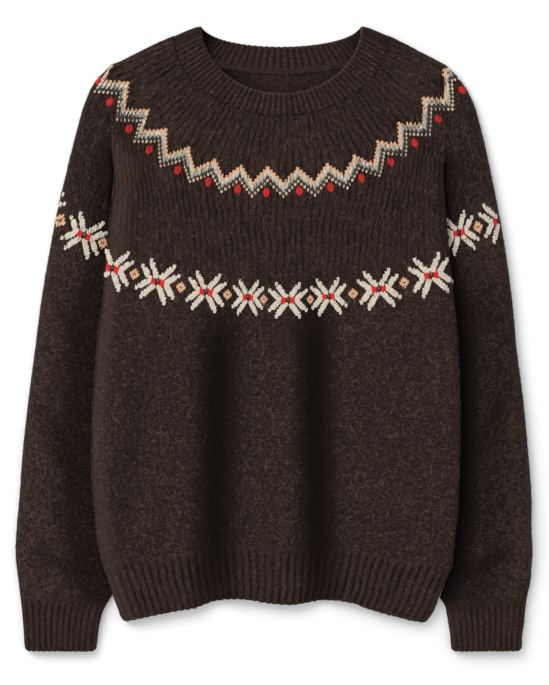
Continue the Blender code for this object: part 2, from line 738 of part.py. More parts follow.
def main():
    for obj in list(bpy.data.objects):
        bpy.data.objects.remove(obj, do_unlink=True)
    collection = bpy.data.collections.new("fair_isle_jumper")
    bpy.context.scene.collection.children.link(collection)
    left, right = SLEEVES["sleeve_left"], SLEEVES["sleeve_right"]
    pieces = (
        front_piece("front_yoke", 0, YOKE_COURSE),
        front_piece("front", YOKE_COURSE, len(COURSES) - 1),
        back_panel(),
        sleeve_piece("upper_sleeve_left", left, 0, ELBOW_SECTION),
        sleeve_piece("upper_sleeve_right", right, 0, ELBOW_SECTION),
        sleeve_piece("sleeve_left", left, ELBOW_SECTION, len(left) - 1),
        sleeve_piece("sleeve_right", right, ELBOW_SECTION, len(right) - 1),
        neckband(),
        hem_front(),
        hem_back(),
        cuff("cuff_left"),
        cuff("cuff_right"),
    )
    for piece in pieces:
        collection.objects.link(piece)


main()
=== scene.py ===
"""Fair isle jumper laid flat on its back: fine knitted shells, colourwork, seams and fibres.

Lengths are in millimetres until a mesh is made. +Z is up, +Y runs to the neck. Every shell takes
its form from the same courses and sections as the solid that it stands for.
"""

import bmesh
import bpy
import numpy as np
from bpy.props import FloatProperty, FloatVectorProperty, IntProperty, PointerProperty
from bpy.types import Operator, Panel, PropertyGroup
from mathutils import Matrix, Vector
from mathutils.bvhtree import BVHTree


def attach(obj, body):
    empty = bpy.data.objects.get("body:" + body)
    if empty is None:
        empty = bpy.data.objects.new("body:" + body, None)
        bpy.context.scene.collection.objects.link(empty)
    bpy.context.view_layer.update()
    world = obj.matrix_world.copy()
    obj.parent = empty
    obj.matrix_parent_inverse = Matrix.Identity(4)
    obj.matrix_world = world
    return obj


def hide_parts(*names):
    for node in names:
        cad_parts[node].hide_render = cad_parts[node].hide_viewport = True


bl_info = {
    "name": "Fair isle jumper",
    "version": (1, 0, 0),
    "blender": (4, 5, 0),
    "location": "3D View > Sidebar > Jumper",
    "description": "Knitted jumper laid flat, with a patterned round yoke",
    "category": "Object",
}

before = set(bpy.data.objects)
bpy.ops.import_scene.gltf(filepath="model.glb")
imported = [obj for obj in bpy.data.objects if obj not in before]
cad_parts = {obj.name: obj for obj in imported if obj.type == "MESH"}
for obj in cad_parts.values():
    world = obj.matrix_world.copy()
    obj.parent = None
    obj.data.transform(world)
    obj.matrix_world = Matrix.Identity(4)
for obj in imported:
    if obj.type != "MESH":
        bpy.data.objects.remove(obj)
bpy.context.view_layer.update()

MM = 0.001

PANEL_WALL = 2.8
SLEEVE_WALL = 2.4
RIB_WALL = 3.0
SEAM_GAP = 0.4

BODY_ROLL = 14.0
BACK_ROLL = 6.0
BACK_EDGE = 2.2
SLEEVE_EDGE = 3.2
SLEEVE_ROLL = 5.0
CUFF_ROLL = 10.0
MARGIN_ROLL = 7.0
CREVICE = 34.0
MARGIN_TOP = 8.0
MARGIN_LEAST = 6.2
MARGIN_LIFT = 9.5
MARGIN_CLEAR = 1.5
CREASE_CLEAR = 20.0
LIFT_REACH = (28.0, 56.0)
ARMHOLE_SECTIONS = 3.5

RIDGES = 52
HEM_RIBS = 41
CUFF_RIBS = 13
NECK_RIBS_FRONT = 48
NECK_RIBS_BACK = 38
RIM_RADIUS = 1.5
FRONT_WALES = 2 * RIDGES
WALE = 3.8
COURSE = 3.1
RIB_SHADE = 0.75  # how far light is lost in the grooves of the ribbing
RIM_SHADE = 0.3
# Painted shade over the whole of both sleeves.
SLEEVE_DUSK = 0.1
SCALLOP = 0.8  # how far each rib stands out at the free rim
CORNER_ROUND = 2.4  # how far the neckband's two corners are rounded down
RIM_START = 2.4  # how far in from a free rim its finer rows begin
RIM_STEPS = np.array((1.5, 0.8, 0.35, 0.1, 0.0))  # distances of those rows from the rim

# Courses of the front from the neckline to the hem rib: down the middle, left x, left y,
# right x, right y, sag, swell, bend, sag of the back
COURSES = (
    (0, -108, 327, 124, 327, 88, 2.0, 0.50, 42),
    (16, -126, 319, 140, 319, 96, 2.2, 0.60, 46),
    (32, -145, 310, 157, 310, 103, 2.45, 0.72, 50),
    (47, -165, 300, 177, 300, 108, 2.7, 0.87, 54),
    (57, -179, 293, 189, 292, 110, 2.8, 0.95, 56),
    (70, -178, 278, 188, 278, 109, 2.8, 1.0, 56),
    (86, -178, 256, 187, 253, 102, 2.7, 1.0, 55),
    (105, -176, 228, 186, 223, 92, 2.6, 1.0, 53),
    (129, -175, 195, 184, 184, 80, 2.4, 1.0, 50),
    (149, -173, 166, 184, 159, 72, 2.3, 1.0, 47),
    (170, -178, 125, 187, 118, 53, 2.15, 1.0, 42),
    (198, -182, 77, 191, 75, 36, 2.0, 1.0, 33),
    (226, -186, 32, 195, 31, 19, 2.0, 1.0, 19),
    (247, -190, 6, 198, 4, 13, 2.0, 1.0, 13),
    (276, -193, -31, 200, -33, 5, 2.0, 1.0, 5),
    (311, -196, -71, 201, -72, 1, 2.0, 1.0, 1),
    (345, -197, -111, 201, -112, -5, 2.0, 1.0, -5),
    (382, -197, -154, 200, -155, -11, 2.0, 1.0, -11),
    (414, -194, -191, 198, -190, -15, 2.0, 1.0, -15),
    (441, -191, -220, 195, -220, -17, 2.0, 1.0, -17),
    (465, -186, -245, 193, -248, -20, 2.0, 1.0, -20),
)
ARMHOLE = (57, 129)  # the armholes run between these two courses and are straight
# Courses of the hem rib under the panels: left x, left y, right x, right y, sag, sag of the back
HEM_COURSES = (
    (-180, -263, 185, -265, -21, -23),
    (-175, -278, 179, -280, -21, -26),
    (-169, -294, 173, -296, -21, -29),
    (-164, -305, 166, -306, -20, -30),
    (-162, -307, 164, -308, -20, -30),
)
# How far the hem is drawn up by the two long troughs: x, rise
HEM_WAVE = (
    (-134, 0.0),
    (-85, 1.0),
    (-65, 6.0),
    (-50, 7.0),
    (-36, 6.5),
    (-23, 4.5),
    (-7, 1.0),
    (13, -0.5),
    (23, 0.0),
    (41, 3.5),
    (51, 6.0),
    (69, 7.5),
    (90, 6.5),
    (97, 3.5),
    (120, 0.5),
    (147, -1.0),
    (164, 0.0),
)
# Share of that wave in each course: down the middle, share
WAVE_SHARE = ((382, 0.0), (414, 0.15), (441, 0.4), (465, 0.6), (523, 1.0))
# Height of the front over the floor where no fold crosses it: y, height
BODY_LOFT = (
    (-308, 14.0),
    (-284, 15.0),
    (-246, 17.5),
    (-224, 21.0),
    (-175, 23.5),
    (-89, 24.0),
    (40, 23.0),
    (148, 21.5),
    (192, 18.5),
    (224, 16.0),
    (267, 13.5),
    (332, 13.0),
)
# Share of the margin's lift along the body: y, share
LIFT_SHARE = (
    (-257, 0.0),
    (-245, 0.35),
    (-235, 0.74),
    (-224, 1.0),
    (143, 1.0),
    (173, 0.5),
    (203, 0.0),
)
# Folds of the front: top x, top y, bottom x, bottom y, half width, depth
BODY_FOLDS = (
    (-50, 60, -66, -310, 30, 10.0),
    (46, 110, 50, -310, 30, 10.5),
    (-142, 45, -149, -262, 26, 3.2),
    (128, 20, 140, -262, 30, 2.2),
)
# Shallow uneven creases that only the cloth has, as above
BODY_CREASES = (
    (-150, 150, -120, 20, 16, 1.0),
    (-96, 60, -104, -120, 18, 0.8),
    (6, 20, -4, -200, 22, 0.7),
    (96, 70, 104, -90, 18, 0.9),
    (162, 130, 150, 10, 15, 1.0),
    (-20, -150, -34, -262, 14, 0.9),
    (84, -170, 92, -262, 14, 0.8),
    (-52, 30, -62, -205, 25, 2.4),
    (47, 80, 49, -205, 25, 2.4),
)
# Where the front loses light, as above with the share of light lost
LOST_LIGHT = (
    (-57, 72, -62, -300, 40, 0.86),
    (42, 84, 51, -300, 35, 0.88),
    (-130, 30, -168, -200, 20, 0.22),
    (6, 90, 2, -60, 16, 0.12),
    (-168, 228, -178, 90, 8, 0.4),
    (176, 228, 186, 70, 9, 0.35),
)
# Sections of a sleeve after the first: outer x, outer y, inner x, inner y, bow
SLEEVE_LEFT = (
    (-194, 277, -174, 172, 3),
    (-205, 254, -176, 150, 6),
    (-214, 223, -173, 128, 10),
    (-224, 183, -168, 108, 11),
    (-234, 141, -165, 92, 11),
    (-243, 94, -164, 60, 9),
    (-252, 40, -165, 21, 4),
    (-259, -14, -168, -25, 2),
    (-266, -68, -171, -74, 0),
    (-272, -122, -174, -124, 0),
    (-276, -176, -177, -176, 0),
    (-279, -210, -182, -209, 0),
    (-280, -235, -187, -235, 0),
    (-279, -247, -186.4, -246, 0),
    (-277, -262, -180.2, -262, 0),
    (-275, -280, -175.4, -279, 0),
)
SLEEVE_RIGHT = (
    (203, 277, 184, 161, 3),
    (216, 254, 186, 140, 4),
    (225, 223, 182, 120, 5),
    (234, 183, 177, 103, 4),
    (244, 133, 173, 92, 2),
    (251, 92, 171, 62, 2),
    (258, 40, 171, 27, 1),
    (263, -14, 173, -22, 0),
    (270, -68, 175, -72, 0),
    (275, -122, 177, -123, 0),
    (279, -176, 178, -176, 0),
    (279, -210, 186, -209, 0),
    (280, -235, 193, -235, 0),
    (279, -247, 193.4, -246, 0),
    (278, -262, 186.6, -262, 0),
    (274, -282, 179.6, -282, 0),
)
# Height of a sleeve's crown: y, height
SLEEVE_LOFT = (
    (-340, 12.6),
    (-300, 13.4),
    (-281, 14.0),
    (-262, 15.0),
    (-230, 17.0),
    (-60, 17.5),
    (100, 17.0),
    (200, 16.0),
    (267, 13.5),
    (293, 13.0),
)
# Creases of the sleeves: top x, top y, bottom x, bottom y, half width, depth
SLEEVE_FOLDS = (
    (-262, -60, -214, -150, 20, 2.0),
    (-268, -228, -205, -258, 14, 2.2),
    (262, -40, 216, -130, 20, 2.0),
    (270, -222, 210, -256, 14, 2.2),
    (-236, 60, -206, -20, 16, 0.9),
    (236, 70, 212, 0, 16, 0.9),
    (-250, -170, -212, -214, 14, 1.1),
    (254, -160, 218, -206, 14, 1.1),
)
# Sections of a cuff after the first: outer x, outer y, inner x, inner y
CUFF_LEFT = (
    (-274, -288, -181, -288),
    (-273, -299, -186, -299),
    (-272, -310, -189, -311),
    (-271, -324, -191, -324),
    (-270, -335, -192.4, -335.6),
    (-269.6, -337, -192.8, -337.6),
    (-268, -338.4, -194.4, -338.9),
)
CUFF_RIGHT = (
    (273, -290, 185, -290),
    (272, -299, 187, -299),
    (271, -310, 189, -310),
    (269, -324, 191, -324),
    (268.4, -335, 192, -335.6),
    (268, -337, 192.4, -337.6),
    (266.6, -338.4, 194, -338.9),
)
NECK_CENTRE = 8.0
NECK_SEAM = dict(half=115.4, end=326.5, front=87.0, back=40.5)
NECK_FREE = dict(half=86.5, end=339.0, front=75.5, back=24.0)
NECK_HEIGHT = 13.0
NECK_ROLL = 14.0
NECK_INWARD = (0.4, -0.917)

# The zigzag runs round the yoke on one curve: half width, centre x, height of its ends and
# depth of its middle, and how square it is
BAND = dict(half=189.0, centre=4.0, top=283.5, drop=115.6, swell=2.8, lean=20.0, reach=210.0)
BAND_REACH = 235.0  # how far the curve is worked out to both sides of its middle
BAND_POINTS = 4001
ZIGZAG_STEP = 4.5  # how far a stitch runs along the zigzag
ZIGZAG_STITCH = (2.6, 4.2)  # least and most width of its stitches
ZIGZAG_ROW = 3.3
# Turns of the zigzag's first row, peaks and valleys in turn, from the left edge to the right one:
# along the curve, up from it
ZIGZAG_TURNS = (
    (-258, -4),
    (-241, 15),
    (-230, -4),
    (-213, 18),
    (-191, -1),
    (-174, 18),
    (-161, -2),
    (-143, 17),
    (-124, -3),
    (-108, 16),
    (-91, -2),
    (-73, 15),
    (-58, -2),
    (-41, 14),
    (-27, -3),
    (-11, 14),
    (6, -3),
    (22, 13),
    (39, -3),
    (56, 14),
    (72, -2),
    (90, 14),
    (106, -3),
    (123, 15),
    (140, -1),
    (156, 15),
    (173, -4),
    (196, 12),
    (209, -7),
    (235, 10),
    (251, -3),
    (268, 12),
)
# Rows of the zigzag from its top: yarn, size of its loops, how high they stand in mm
ZIGZAG_ROWS = (
    ("peach", 1.12, 0.95),
    ("cream", 1.12, 0.75),
    ("mist", 1.05, 0.7),
    ("slate", 1.08, 0.75),
    ("dot", 0.76, 0.75),
)
# Buds under the peaks: along the curve, up from it
BUDS = (
    (-234, -7),
    (-207, -9),
    (-172, -10),
    (-142, -10),
    (-106, -10),
    (-73, -9),
    (-42, -10),
    (-12, -12),
    (23, -11),
    (55, -10),
    (88, -10),
    (122, -10),
    (153, -11),
    (188, -13),
    (227, -17),
)
BUD_ROWS = (2, 3, 3, 2)  # loops in each row of a bud, from its top
BUD_STITCH = (2.25, 2.15)

# Petals of a star, each in all four quarters, in stitches and rows from its middle: first loop's
# place, last loop's place, loops
PETALS = (
    (0.95, 1.4, 3.15, 4.35, 5),
    (3.0, 0.5, 4.95, 2.45, 5),
)
PETAL_TIPS = ((3.75, 5.3), (5.95, 3.15))
# The middle of a star: mark, across, up
STAR_MIDDLE = (
    ("w", -2.6, 0.0),
    ("w", 2.6, 0.0),
    ("d", -0.35, 0.0),
    ("d", 0.35, 0.0),
    ("R", -1.45, 0.48),
    ("R", -1.45, -0.48),
    ("R", 1.45, 0.48),
    ("R", 1.45, -0.48),
    ("r", 0.0, 0.25),
)
# A small peach spot: mark, across and up in stitches
SPECK = (
    ("p", 0.0, 1.75),
    ("P", -0.62, 0.9),
    ("P", 0.62, 0.9),
    ("P", -1.35, 0.0),
    ("P", 1.35, 0.0),
    ("P", -0.62, -0.9),
    ("P", 0.62, -0.9),
    ("p", 0.0, -1.75),
)
# Marks of the charts: yarn, width and height of the loop in stitches, how high it stands in mm
MARKS = {
    "W": ("cream", 1.62, 1.04, 0.75),
    "w": ("cream", 0.8, 0.9, 0.7),
    "t": ("cream", 0.95, 0.95, 0.65),
    "R": ("red", 1.5, 1.15, 0.85),
    "d": ("madder", 0.75, 1.9, 0.7),
    "r": ("rose", 0.62, 0.62, 0.95),
    "P": ("peach", 1.2, 1.15, 0.75),
    "p": ("peach", 0.7, 1.0, 0.7),
}
# Motifs: kind, piece it lies on, x, y, tilt in degrees, stitch width, row height
MOTIFS = (
    ("star", "front", -174, 74, -15, 3.3, 3.8),
    ("star", "front", -125, 60, -16, 3.4, 3.8),
    ("star", "front", -73, 49, -8, 3.2, 3.6),
    ("star", "front", -28, 43, -3, 2.6, 3.3),
    ("star", "front", 15, 40, 0, 3.3, 3.3),
    ("star", "front", 59, 44, 4, 3.0, 3.4),
    ("star", "front", 113, 52, 8, 3.5, 3.6),
    ("star", "front", 169, 67, 14, 3.5, 3.8),
    ("speck", "front", -150, 68, -14, 2.5, 2.6),
    ("speck", "front", -100, 54, -11, 2.5, 2.5),
    ("speck", "front", -50, 46, -6, 2.2, 2.4),
    ("speck", "front", -11, 41, 0, 1.9, 2.3),
    ("speck", "front", 39, 41, 0, 1.8, 2.2),
    ("speck", "front", 85, 47, 6, 2.5, 2.4),
    ("speck", "front", 140, 59, 11, 2.5, 2.5),
    ("star", "sleeve_left", -205, 110, -24, 3.4, 3.8),
    ("star", "sleeve_left", -249, 146, -34, 3.4, 3.6),
    ("speck", "sleeve_left", -231, 126, -34, 3.3, 3.4),
    ("speck", "sleeve_left", -185, 102, -14, 2.6, 2.8),
    ("star", "sleeve_right", 200, 113, 16, 2.9, 3.8),
    ("star", "sleeve_right", 243, 126, 16, 3.1, 3.8),
    ("speck", "sleeve_right", 220, 119, 16, 2.4, 2.8),
)


# Unevenness of the cloth, all over, in the yoke and in the ribs: height, size across, seed
BODY_HILLS = ((0.5, 46.0, 3), (0.22, 13.0, 4))
SLEEVE_HILLS = ((0.45, 34.0, 7), (0.2, 12.0, 8))
RIDGE_WANDER_X = ((1.5, 11.0, 51), (0.8, 26.0, 52))
RIDGE_WANDER_Y = ((0.5, 9.0, 53),)
RIDGE_PATCHES = ((0.5, 14.0, 11), (0.3, 5.0, 12))
YOKE_HILLS = ((0.3, 4.4, 13), (0.2, 7.0, 14))
HEM_RIB_WANDER = ((0.12, 21.0, 22),)
HEM_RIB_PATCHES = ((0.35, 13.0, 21),)
CUFF_RIB_PATCHES = ((0.4, 11.0, 31),)
# The plan that this noise covers: how far it reaches left of and below the middle, and its size
NOISE_REACH = (310.0, 370.0)
NOISE_PLAN = (640, 760)


def smooth(value, start, end):
    """0 up to start and 1 from end on, or the other way round, with an even slope between."""
    share = np.clip((np.asarray(value, float) - start) / (end - start), 0.0, 1.0)
    return share * share * (3.0 - 2.0 * share)


def roll(distance, reach):
    """Quarter ellipse: the share of its full height that rolled cloth has at a distance in."""
    share = np.clip(np.asarray(distance, float) / reach, 0.0, 1.0)
    return np.sqrt(1.0 - (1.0 - share) ** 2)


def away(points, line):
    """Distance in plan from each point to a polyline."""
    best = np.full(len(points), 1e9)
    for start, end in zip(line[:-1], line[1:]):
        run = end - start
        share = np.clip((points - start) @ run / (run @ run), 0.0, 1.0)
        gap = points - start - share[:, None] * run
        best = np.minimum(best, (gap * gap).sum(axis=1))
    return np.sqrt(best)


def from_lines(points, lines):
    """Distance in plan to the nearer of two lines."""
    return np.minimum(away(points, lines[0]), away(points, lines[1]))


def of_table(table, value):
    """Value of a two-column table at any key."""
    keys, values = np.array(table, float).T
    return np.interp(value, keys, values)


def through(keys, rows, at):
    """Smooth curve through a table's rows: its values at the given keys."""
    keys, rows = np.asarray(keys, float), np.asarray(rows, float)
    slopes = np.gradient(rows, keys, axis=0)
    k = np.clip(np.searchsorted(keys, at, "right") - 1, 0, len(keys) - 2)
    gap = (keys[k + 1] - keys[k])[:, None]
    t = ((at - keys[k]) / gap[:, 0])[:, None]
    from_start = (1 + 2 * t) * (1 - t) ** 2 * rows[k] + t * (1 - t) ** 2 * gap * slopes[k]
    from_end = t * t * (3 - 2 * t) * rows[k + 1] - t * t * (1 - t) * gap * slopes[k + 1]
    return from_start + from_end


def uneven(points, size, seed):
    """Smooth noise between -1 and 1 over the plan, its hills about size across."""
    cells = tuple(int(length / size) + 4 for length in NOISE_PLAN)
    noise = np.random.default_rng(seed).uniform(-1.0, 1.0, cells)
    at = (points + NOISE_REACH) / size
    cell = np.floor(at).astype(int)
    cell = np.clip(cell, 0, (noise.shape[0] - 2, noise.shape[1] - 2))
    u, v = smooth(at - cell, 0.0, 1.0).T
    i, j = cell.T
    low = noise[i, j] * (1 - u) + noise[i + 1, j] * u
    high = noise[i, j + 1] * (1 - u) + noise[i + 1, j + 1] * u
    return low * (1 - v) + high * v


def hills(points, table):
    """Sum of noises at points of any grid, from rows of height, size across and seed."""
    flat = points[..., :2].reshape(-1, 2)
    total = sum(height * uneven(flat, size, seed) for height, size, seed in table)
    return total.reshape(points.shape[:-1])


def bell(points, ends, half):
    """Share of the way down a line, and a bell across it: 1 on the line, 0 from half on."""
    top = np.array(ends[:2])
    run = np.array(ends[2:]) - top
    share = (points - top) @ run / (run @ run)
    gap = points - top - np.clip(share, 0.0, 1.0)[:, None] * run
    across = np.clip(np.hypot(gap[:, 0], gap[:, 1]) / half, 0.0, 1.0)
    return share, 0.5 + 0.5 * np.cos(np.pi * across)


def folds(points, table):
    """Depth of the folds at each point: bell-shaped across, fading in and partly out again."""
    depth = np.zeros(len(points))
    for *ends, half, deep in table:
        share, across = bell(points, ends, half)
        along = smooth(share, -0.05, 0.45) * (1.0 - 0.45 * smooth(share, 0.78, 0.98))
        depth += deep * across * along
    return depth


def lose(*shares):
    """Share of light lost in all, where each of several shares is taken from what is left."""
    kept = 1.0
    for share in shares:
        kept = kept * (1.0 - share)
    return 1.0 - kept


def course_rows(downs):
    """The table's courses at any distance down the middle, the armholes kept straight."""
    table = np.array(COURSES, float)
    rows = through(table[:, 0], table[:, 1:], downs)
    top, bottom = (table[list(table[:, 0]).index(down)] for down in ARMHOLE)
    beside = (downs >= ARMHOLE[0]) & (downs <= ARMHOLE[1])
    for x, y in ((1, 2), (3, 4)):
        straight = np.interp(rows[:, y - 1], (bottom[y], top[y]), (bottom[x], top[x]))
        rows[:, x - 1] = np.where(beside, straight, rows[:, x - 1])
    return rows


def hem_rows(shares):
    """Rows of the hem rib at shares of its depth, the last column the share of the wave."""
    last = COURSES[-1]
    first = (last[1], last[2], last[3], last[4], last[5], last[8])
    table = np.array((first, *HEM_COURSES), float)
    table = np.column_stack((table, np.linspace(of_table(WAVE_SHARE, last[0]), 1.0, len(table))))
    depth = table[0, 1] - table[:, 1]
    return through(depth, table, shares * depth[-1])


def sleeve_table(name):
    """All sections of a sleeve, with the first one beside the armhole and its number last."""
    top, bottom = (next(row for row in COURSES if row[0] == down) for down in ARMHOLE)
    k, table = (1, SLEEVE_LEFT) if name == "sleeve_left" else (3, SLEEVE_RIGHT)
    first = (top[k], top[k + 1], bottom[k], bottom[k + 1], 0)
    table = np.array((first, *table), float)
    return np.column_stack((table, np.arange(len(table))))


def lengths_along(curve):
    """Distance along a line of points in plan to each of them."""
    steps = np.hypot(*np.diff(curve, axis=0).T)
    return np.concatenate(((0.0,), np.cumsum(steps)))


def section_lengths(table):
    """Distance along the middle of a sleeve or cuff to each of its sections."""
    return lengths_along((table[:, 0:2] + table[:, 2:4]) / 2.0)


FOLD_STEP = 6.0  # distance between the points of the lines that heights are measured from
LINE_POINTS = 12
SHOULDER_SECTIONS = 20  # points of a sleeve's outer fold that go on with the shoulder's line


def two_lines(rows):
    """The lines of rows that begin with left x, left y, right x, right y."""
    return rows[:, 0:2], rows[:, 2:4]


def side_lines():
    """The body's left and right folds, from the armholes down to the hem."""
    panels = course_rows(np.arange(ARMHOLE[1], COURSES[-1][0] - 1.0, FOLD_STEP))
    ribs = hem_rows(np.linspace(0.0, 1.0, LINE_POINTS))
    return two_lines(np.vstack((panels[:, :4], ribs[:, :4])))


def sleeve_rows(name, step):
    """Distances along a sleeve and its sections there."""
    table = SLEEVE_SECTIONS[name]
    keys = section_lengths(table)
    at = np.linspace(0.0, keys[-1], int(round(keys[-1] / step)) + 1)
    return at, through(keys, table, at)


def shoulder_lines():
    """Both shoulders' folds, from the neckline on down the sleeves."""
    shoulders = two_lines(course_rows(np.linspace(0.0, ARMHOLE[0], LINE_POINTS))[:-1])
    sleeves = (SLEEVE_LINES["sleeve_left"][0], SLEEVE_LINES["sleeve_right"][0])
    return [np.vstack((one, two[:SHOULDER_SECTIONS])) for one, two in zip(shoulders, sleeves)]


SLEEVE_SECTIONS = {name: sleeve_table(name) for name in ("sleeve_left", "sleeve_right")}
SLEEVE_LINES = {name: two_lines(sleeve_rows(name, FOLD_STEP)[1]) for name in SLEEVE_SECTIONS}
SIDE_LINES = side_lines()
SHOULDER_LINES = shoulder_lines()


def back_height(points):
    """Underside of the back panel: on the floor, up over the sleeves' margins at the sides."""
    side = from_lines(points, SIDE_LINES)
    edge = np.minimum(side, from_lines(points, SHOULDER_LINES))
    lift = MARGIN_LIFT * of_table(LIFT_SHARE, points[:, 1]) * (1.0 - smooth(side, *LIFT_REACH))
    return lift + BACK_EDGE * (1.0 - roll(edge, BACK_ROLL))


def front_height(points, wall=0.0):
    """Face of the front panel, or its inside where wall is the cloth's thickness."""
    side, shoulder = from_lines(points, SIDE_LINES), from_lines(points, SHOULDER_LINES)
    lift = MARGIN_LIFT * of_table(LIFT_SHARE, points[:, 1])
    near_side = 1.0 - smooth(side, 0.0, BODY_ROLL)
    seam = BACK_EDGE + PANEL_WALL + SEAM_GAP + lift * near_side
    loft = of_table(BODY_LOFT, points[:, 1])
    height = loft - folds(points, BODY_FOLDS) - folds(points, BODY_CREASES) - wall
    if not wall:
        height += hills(points, BODY_HILLS)
    rise = roll(side - wall, BODY_ROLL - wall) * roll(shoulder - wall, BODY_ROLL - wall)
    return seam + (height - seam) * rise


COURSE_POINTS = 241


def course(ends, sag, swell, bend, wave=0.0):
    """Plan curve of one course, from its left end to its right end."""
    q = -np.cos(np.linspace(0.0, np.pi, COURSE_POINTS))
    share = 0.5 + 0.5 * q
    x = ends[0] + (ends[2] - ends[0]) * share
    drop = sag * np.clip(1.0 - np.abs(q) ** swell, 0.0, 1.0) ** bend
    y = ends[1] + (ends[3] - ends[1]) * share - drop
    return np.column_stack((x, y + wave * of_table(HEM_WAVE, x)))


def spread(curve, edges, cells, start=0.0):
    """Points along a curve: set distances in from both ends, then even cells between them.

    Returns the points, how far along the whole curve each is, and how far between the set
    distances, both from 0 to 1.
    """
    along = lengths_along(curve)
    total = along[-1]
    near = start + np.array(edges, float) * (edges[-1] - start) / edges[-1]
    even = np.linspace(near[-1], total - near[-1], cells + 1)
    at = np.concatenate((near[:-1], even, (total - near[:-1])[::-1]))
    places = np.column_stack([np.interp(at, along, curve[:, k]) for k in (0, 1)])
    return places, at / total, (at - near[-1]) / (total - 2.0 * near[-1])


def crests(turn, fullness=1.6):
    """Relief across ribs or wales, one in each whole turn: 1 on a crest and 0 in a groove."""
    return np.clip(fullness * (0.5 - 0.5 * np.cos(2 * np.pi * turn)), 0.0, 1.0)


def rim_drop(distance):
    """How far a rounded rim falls away at a distance in from it."""
    share = np.clip(1.0 - distance / RIM_RADIUS, 0.0, 1.0)
    return RIM_RADIUS * (1.0 - np.sqrt(1.0 - share**2))


def rim_shade(distance):
    """Light lost on a free rim, at a distance in from it."""
    return RIM_SHADE * (1.0 - smooth(distance, 0.4, 2.6))


def rim_wear_and_highlight(distance):
    """How far a free rim is made lighter: wear from rubbing and a painted highlight."""
    return 0.4 * (1.0 - smooth(distance, 0.6, 2.2))


def scallop(crest, distance):
    """How far each rib stands out beyond a free rim."""
    return SCALLOP * crest * (1.0 - smooth(distance, 0.0, 6.0))


def grid_faces(rows, cols, ring, first):
    """Quads between the points of a grid, numbered from first."""
    number = np.arange(rows * cols).reshape(rows, cols) + first
    if ring:
        number = np.hstack((number, number[:, :1]))
    a, b, c, d = number[:-1, :-1], number[1:, :-1], number[1:, 1:], number[:-1, 1:]
    return np.stack((a, b, c, d), axis=-1).reshape(-1, 4)


def strip(one, two, at_one, at_two):
    """Triangles between two lines of points, in step with the places along them."""
    faces, i, j = [], 0, 0
    while i < len(one) - 1 or j < len(two) - 1:
        next_one = at_one[i + 1] if i < len(one) - 1 else 1e9
        next_two = at_two[j + 1] if j < len(two) - 1 else 1e9
        if next_one < next_two:
            faces.append((one[i], two[j], one[i + 1]))
            i += 1
        else:
            faces.append((one[i], two[j], two[j + 1]))
            j += 1
    return faces


def rims(grid, ring, first):
    """The edges of a grid of points, each as numbers and places along it."""
    rows, cols = grid.shape[:2]
    number = np.arange(rows * cols).reshape(rows, cols) + first
    if ring:
        lines = [(row, number[row].tolist() + [number[row, 0]]) for row in (0, -1)]
        places = [np.vstack((grid[row], grid[row, :1])) for row, _ in lines]
        lines = [line for _, line in lines]
    else:
        lines = [number[0], number[-1], number[:, 0], number[:, -1]]
        places = [grid[0], grid[-1], grid[:, 0], grid[:, -1]]
    found = []
    for line, points in zip(lines, places):
        steps = np.linalg.norm(np.diff(points[:, :2], axis=0), axis=1)
        along = np.concatenate(((0.0,), np.cumsum(steps)))
        found.append(([int(n) for n in line], along / along[-1]))
    return found


class Side:
    """One side of a shell: a grid of points, each with its stitch, shade and tint.

    A stitch is a place in wales and courses and how sharply the loops show there. Shade is how far
    the colour is darkened as painted shade, in folds, grooves, crevices and under edges, and tint
    how far it is made lighter, as a painted highlight on the body's left fold and as wear from
    rubbing with a painted highlight on free rims. Turn is the share of the way across between a
    panel's two edges.
    """

    def __init__(self, points, stitch, shade, tint=None, turn=None):
        self.points = points
        self.stitch = stitch
        self.shade = np.clip(shade, 0.0, 1.0)
        self.tint = np.zeros(points.shape[:2]) if tint is None else tint
        self.turn = turn


def add_object(name, mesh):
    obj = bpy.data.objects.new(name, mesh)
    bpy.context.scene.collection.objects.link(obj)
    return obj


def points_of(mesh):
    """A mesh's points in millimetres."""
    points = np.empty(len(mesh.vertices) * 3)
    mesh.vertices.foreach_get("co", points)
    return points.reshape(-1, 3) / MM


def store(mesh, label, values):
    """Keep one number or three on each point of a mesh, for its material to read."""
    kind, field = ("FLOAT", "value") if values.ndim == 1 else ("FLOAT_VECTOR", "vector")
    mesh.attributes.new(label, kind, "POINT").data.foreach_set(field, values.ravel())


def make_shell(name, face, lining, ring=False):
    """A thin closed wall of cloth: a fine face, a coarser lining and rims between them."""
    sides = (face, lining)
    shape, inside = face.points.shape, lining.points.shape
    count = shape[0] * shape[1]
    faces = grid_faces(*shape[:2], ring, 0).tolist()
    face_quads = len(faces)
    faces += grid_faces(*inside[:2], ring, count)[:, ::-1].tolist()
    sheets = len(faces)
    for one, two in zip(rims(face.points, ring, 0), rims(lining.points, ring, count)):
        faces += strip(one[0], two[0], one[1], two[1])
    mesh = bpy.data.meshes.new(name)
    mesh.from_pydata(np.vstack([side.points.reshape(-1, 3) for side in sides]) * MM, [], faces)
    made = bmesh.new()
    made.from_mesh(mesh)
    bmesh.ops.recalc_face_normals(made, faces=made.faces[:])
    made.to_mesh(mesh)
    made.free()
    mesh.polygons.foreach_set("use_smooth", np.arange(len(faces)) < sheets)
    store(mesh, "stitch", np.vstack([side.stitch.reshape(-1, 3) for side in sides]))
    store(mesh, "shade", np.concatenate([side.shade.ravel() for side in sides]))
    store(mesh, "tint", np.concatenate([side.tint.ravel() for side in sides]))
    obj = add_object(name, mesh)
    obj["face_quads"] = face_quads
    return obj


def dress(obj, nodes, material):
    """Let a piece stand for its nodes, ride on the body and take its finish."""
    obj.data.materials.append(material)
    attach(obj, "root")
    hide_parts(*nodes)


def lay(obj):
    """Let yarn or loose wool ride on the body."""
    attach(obj, "root")


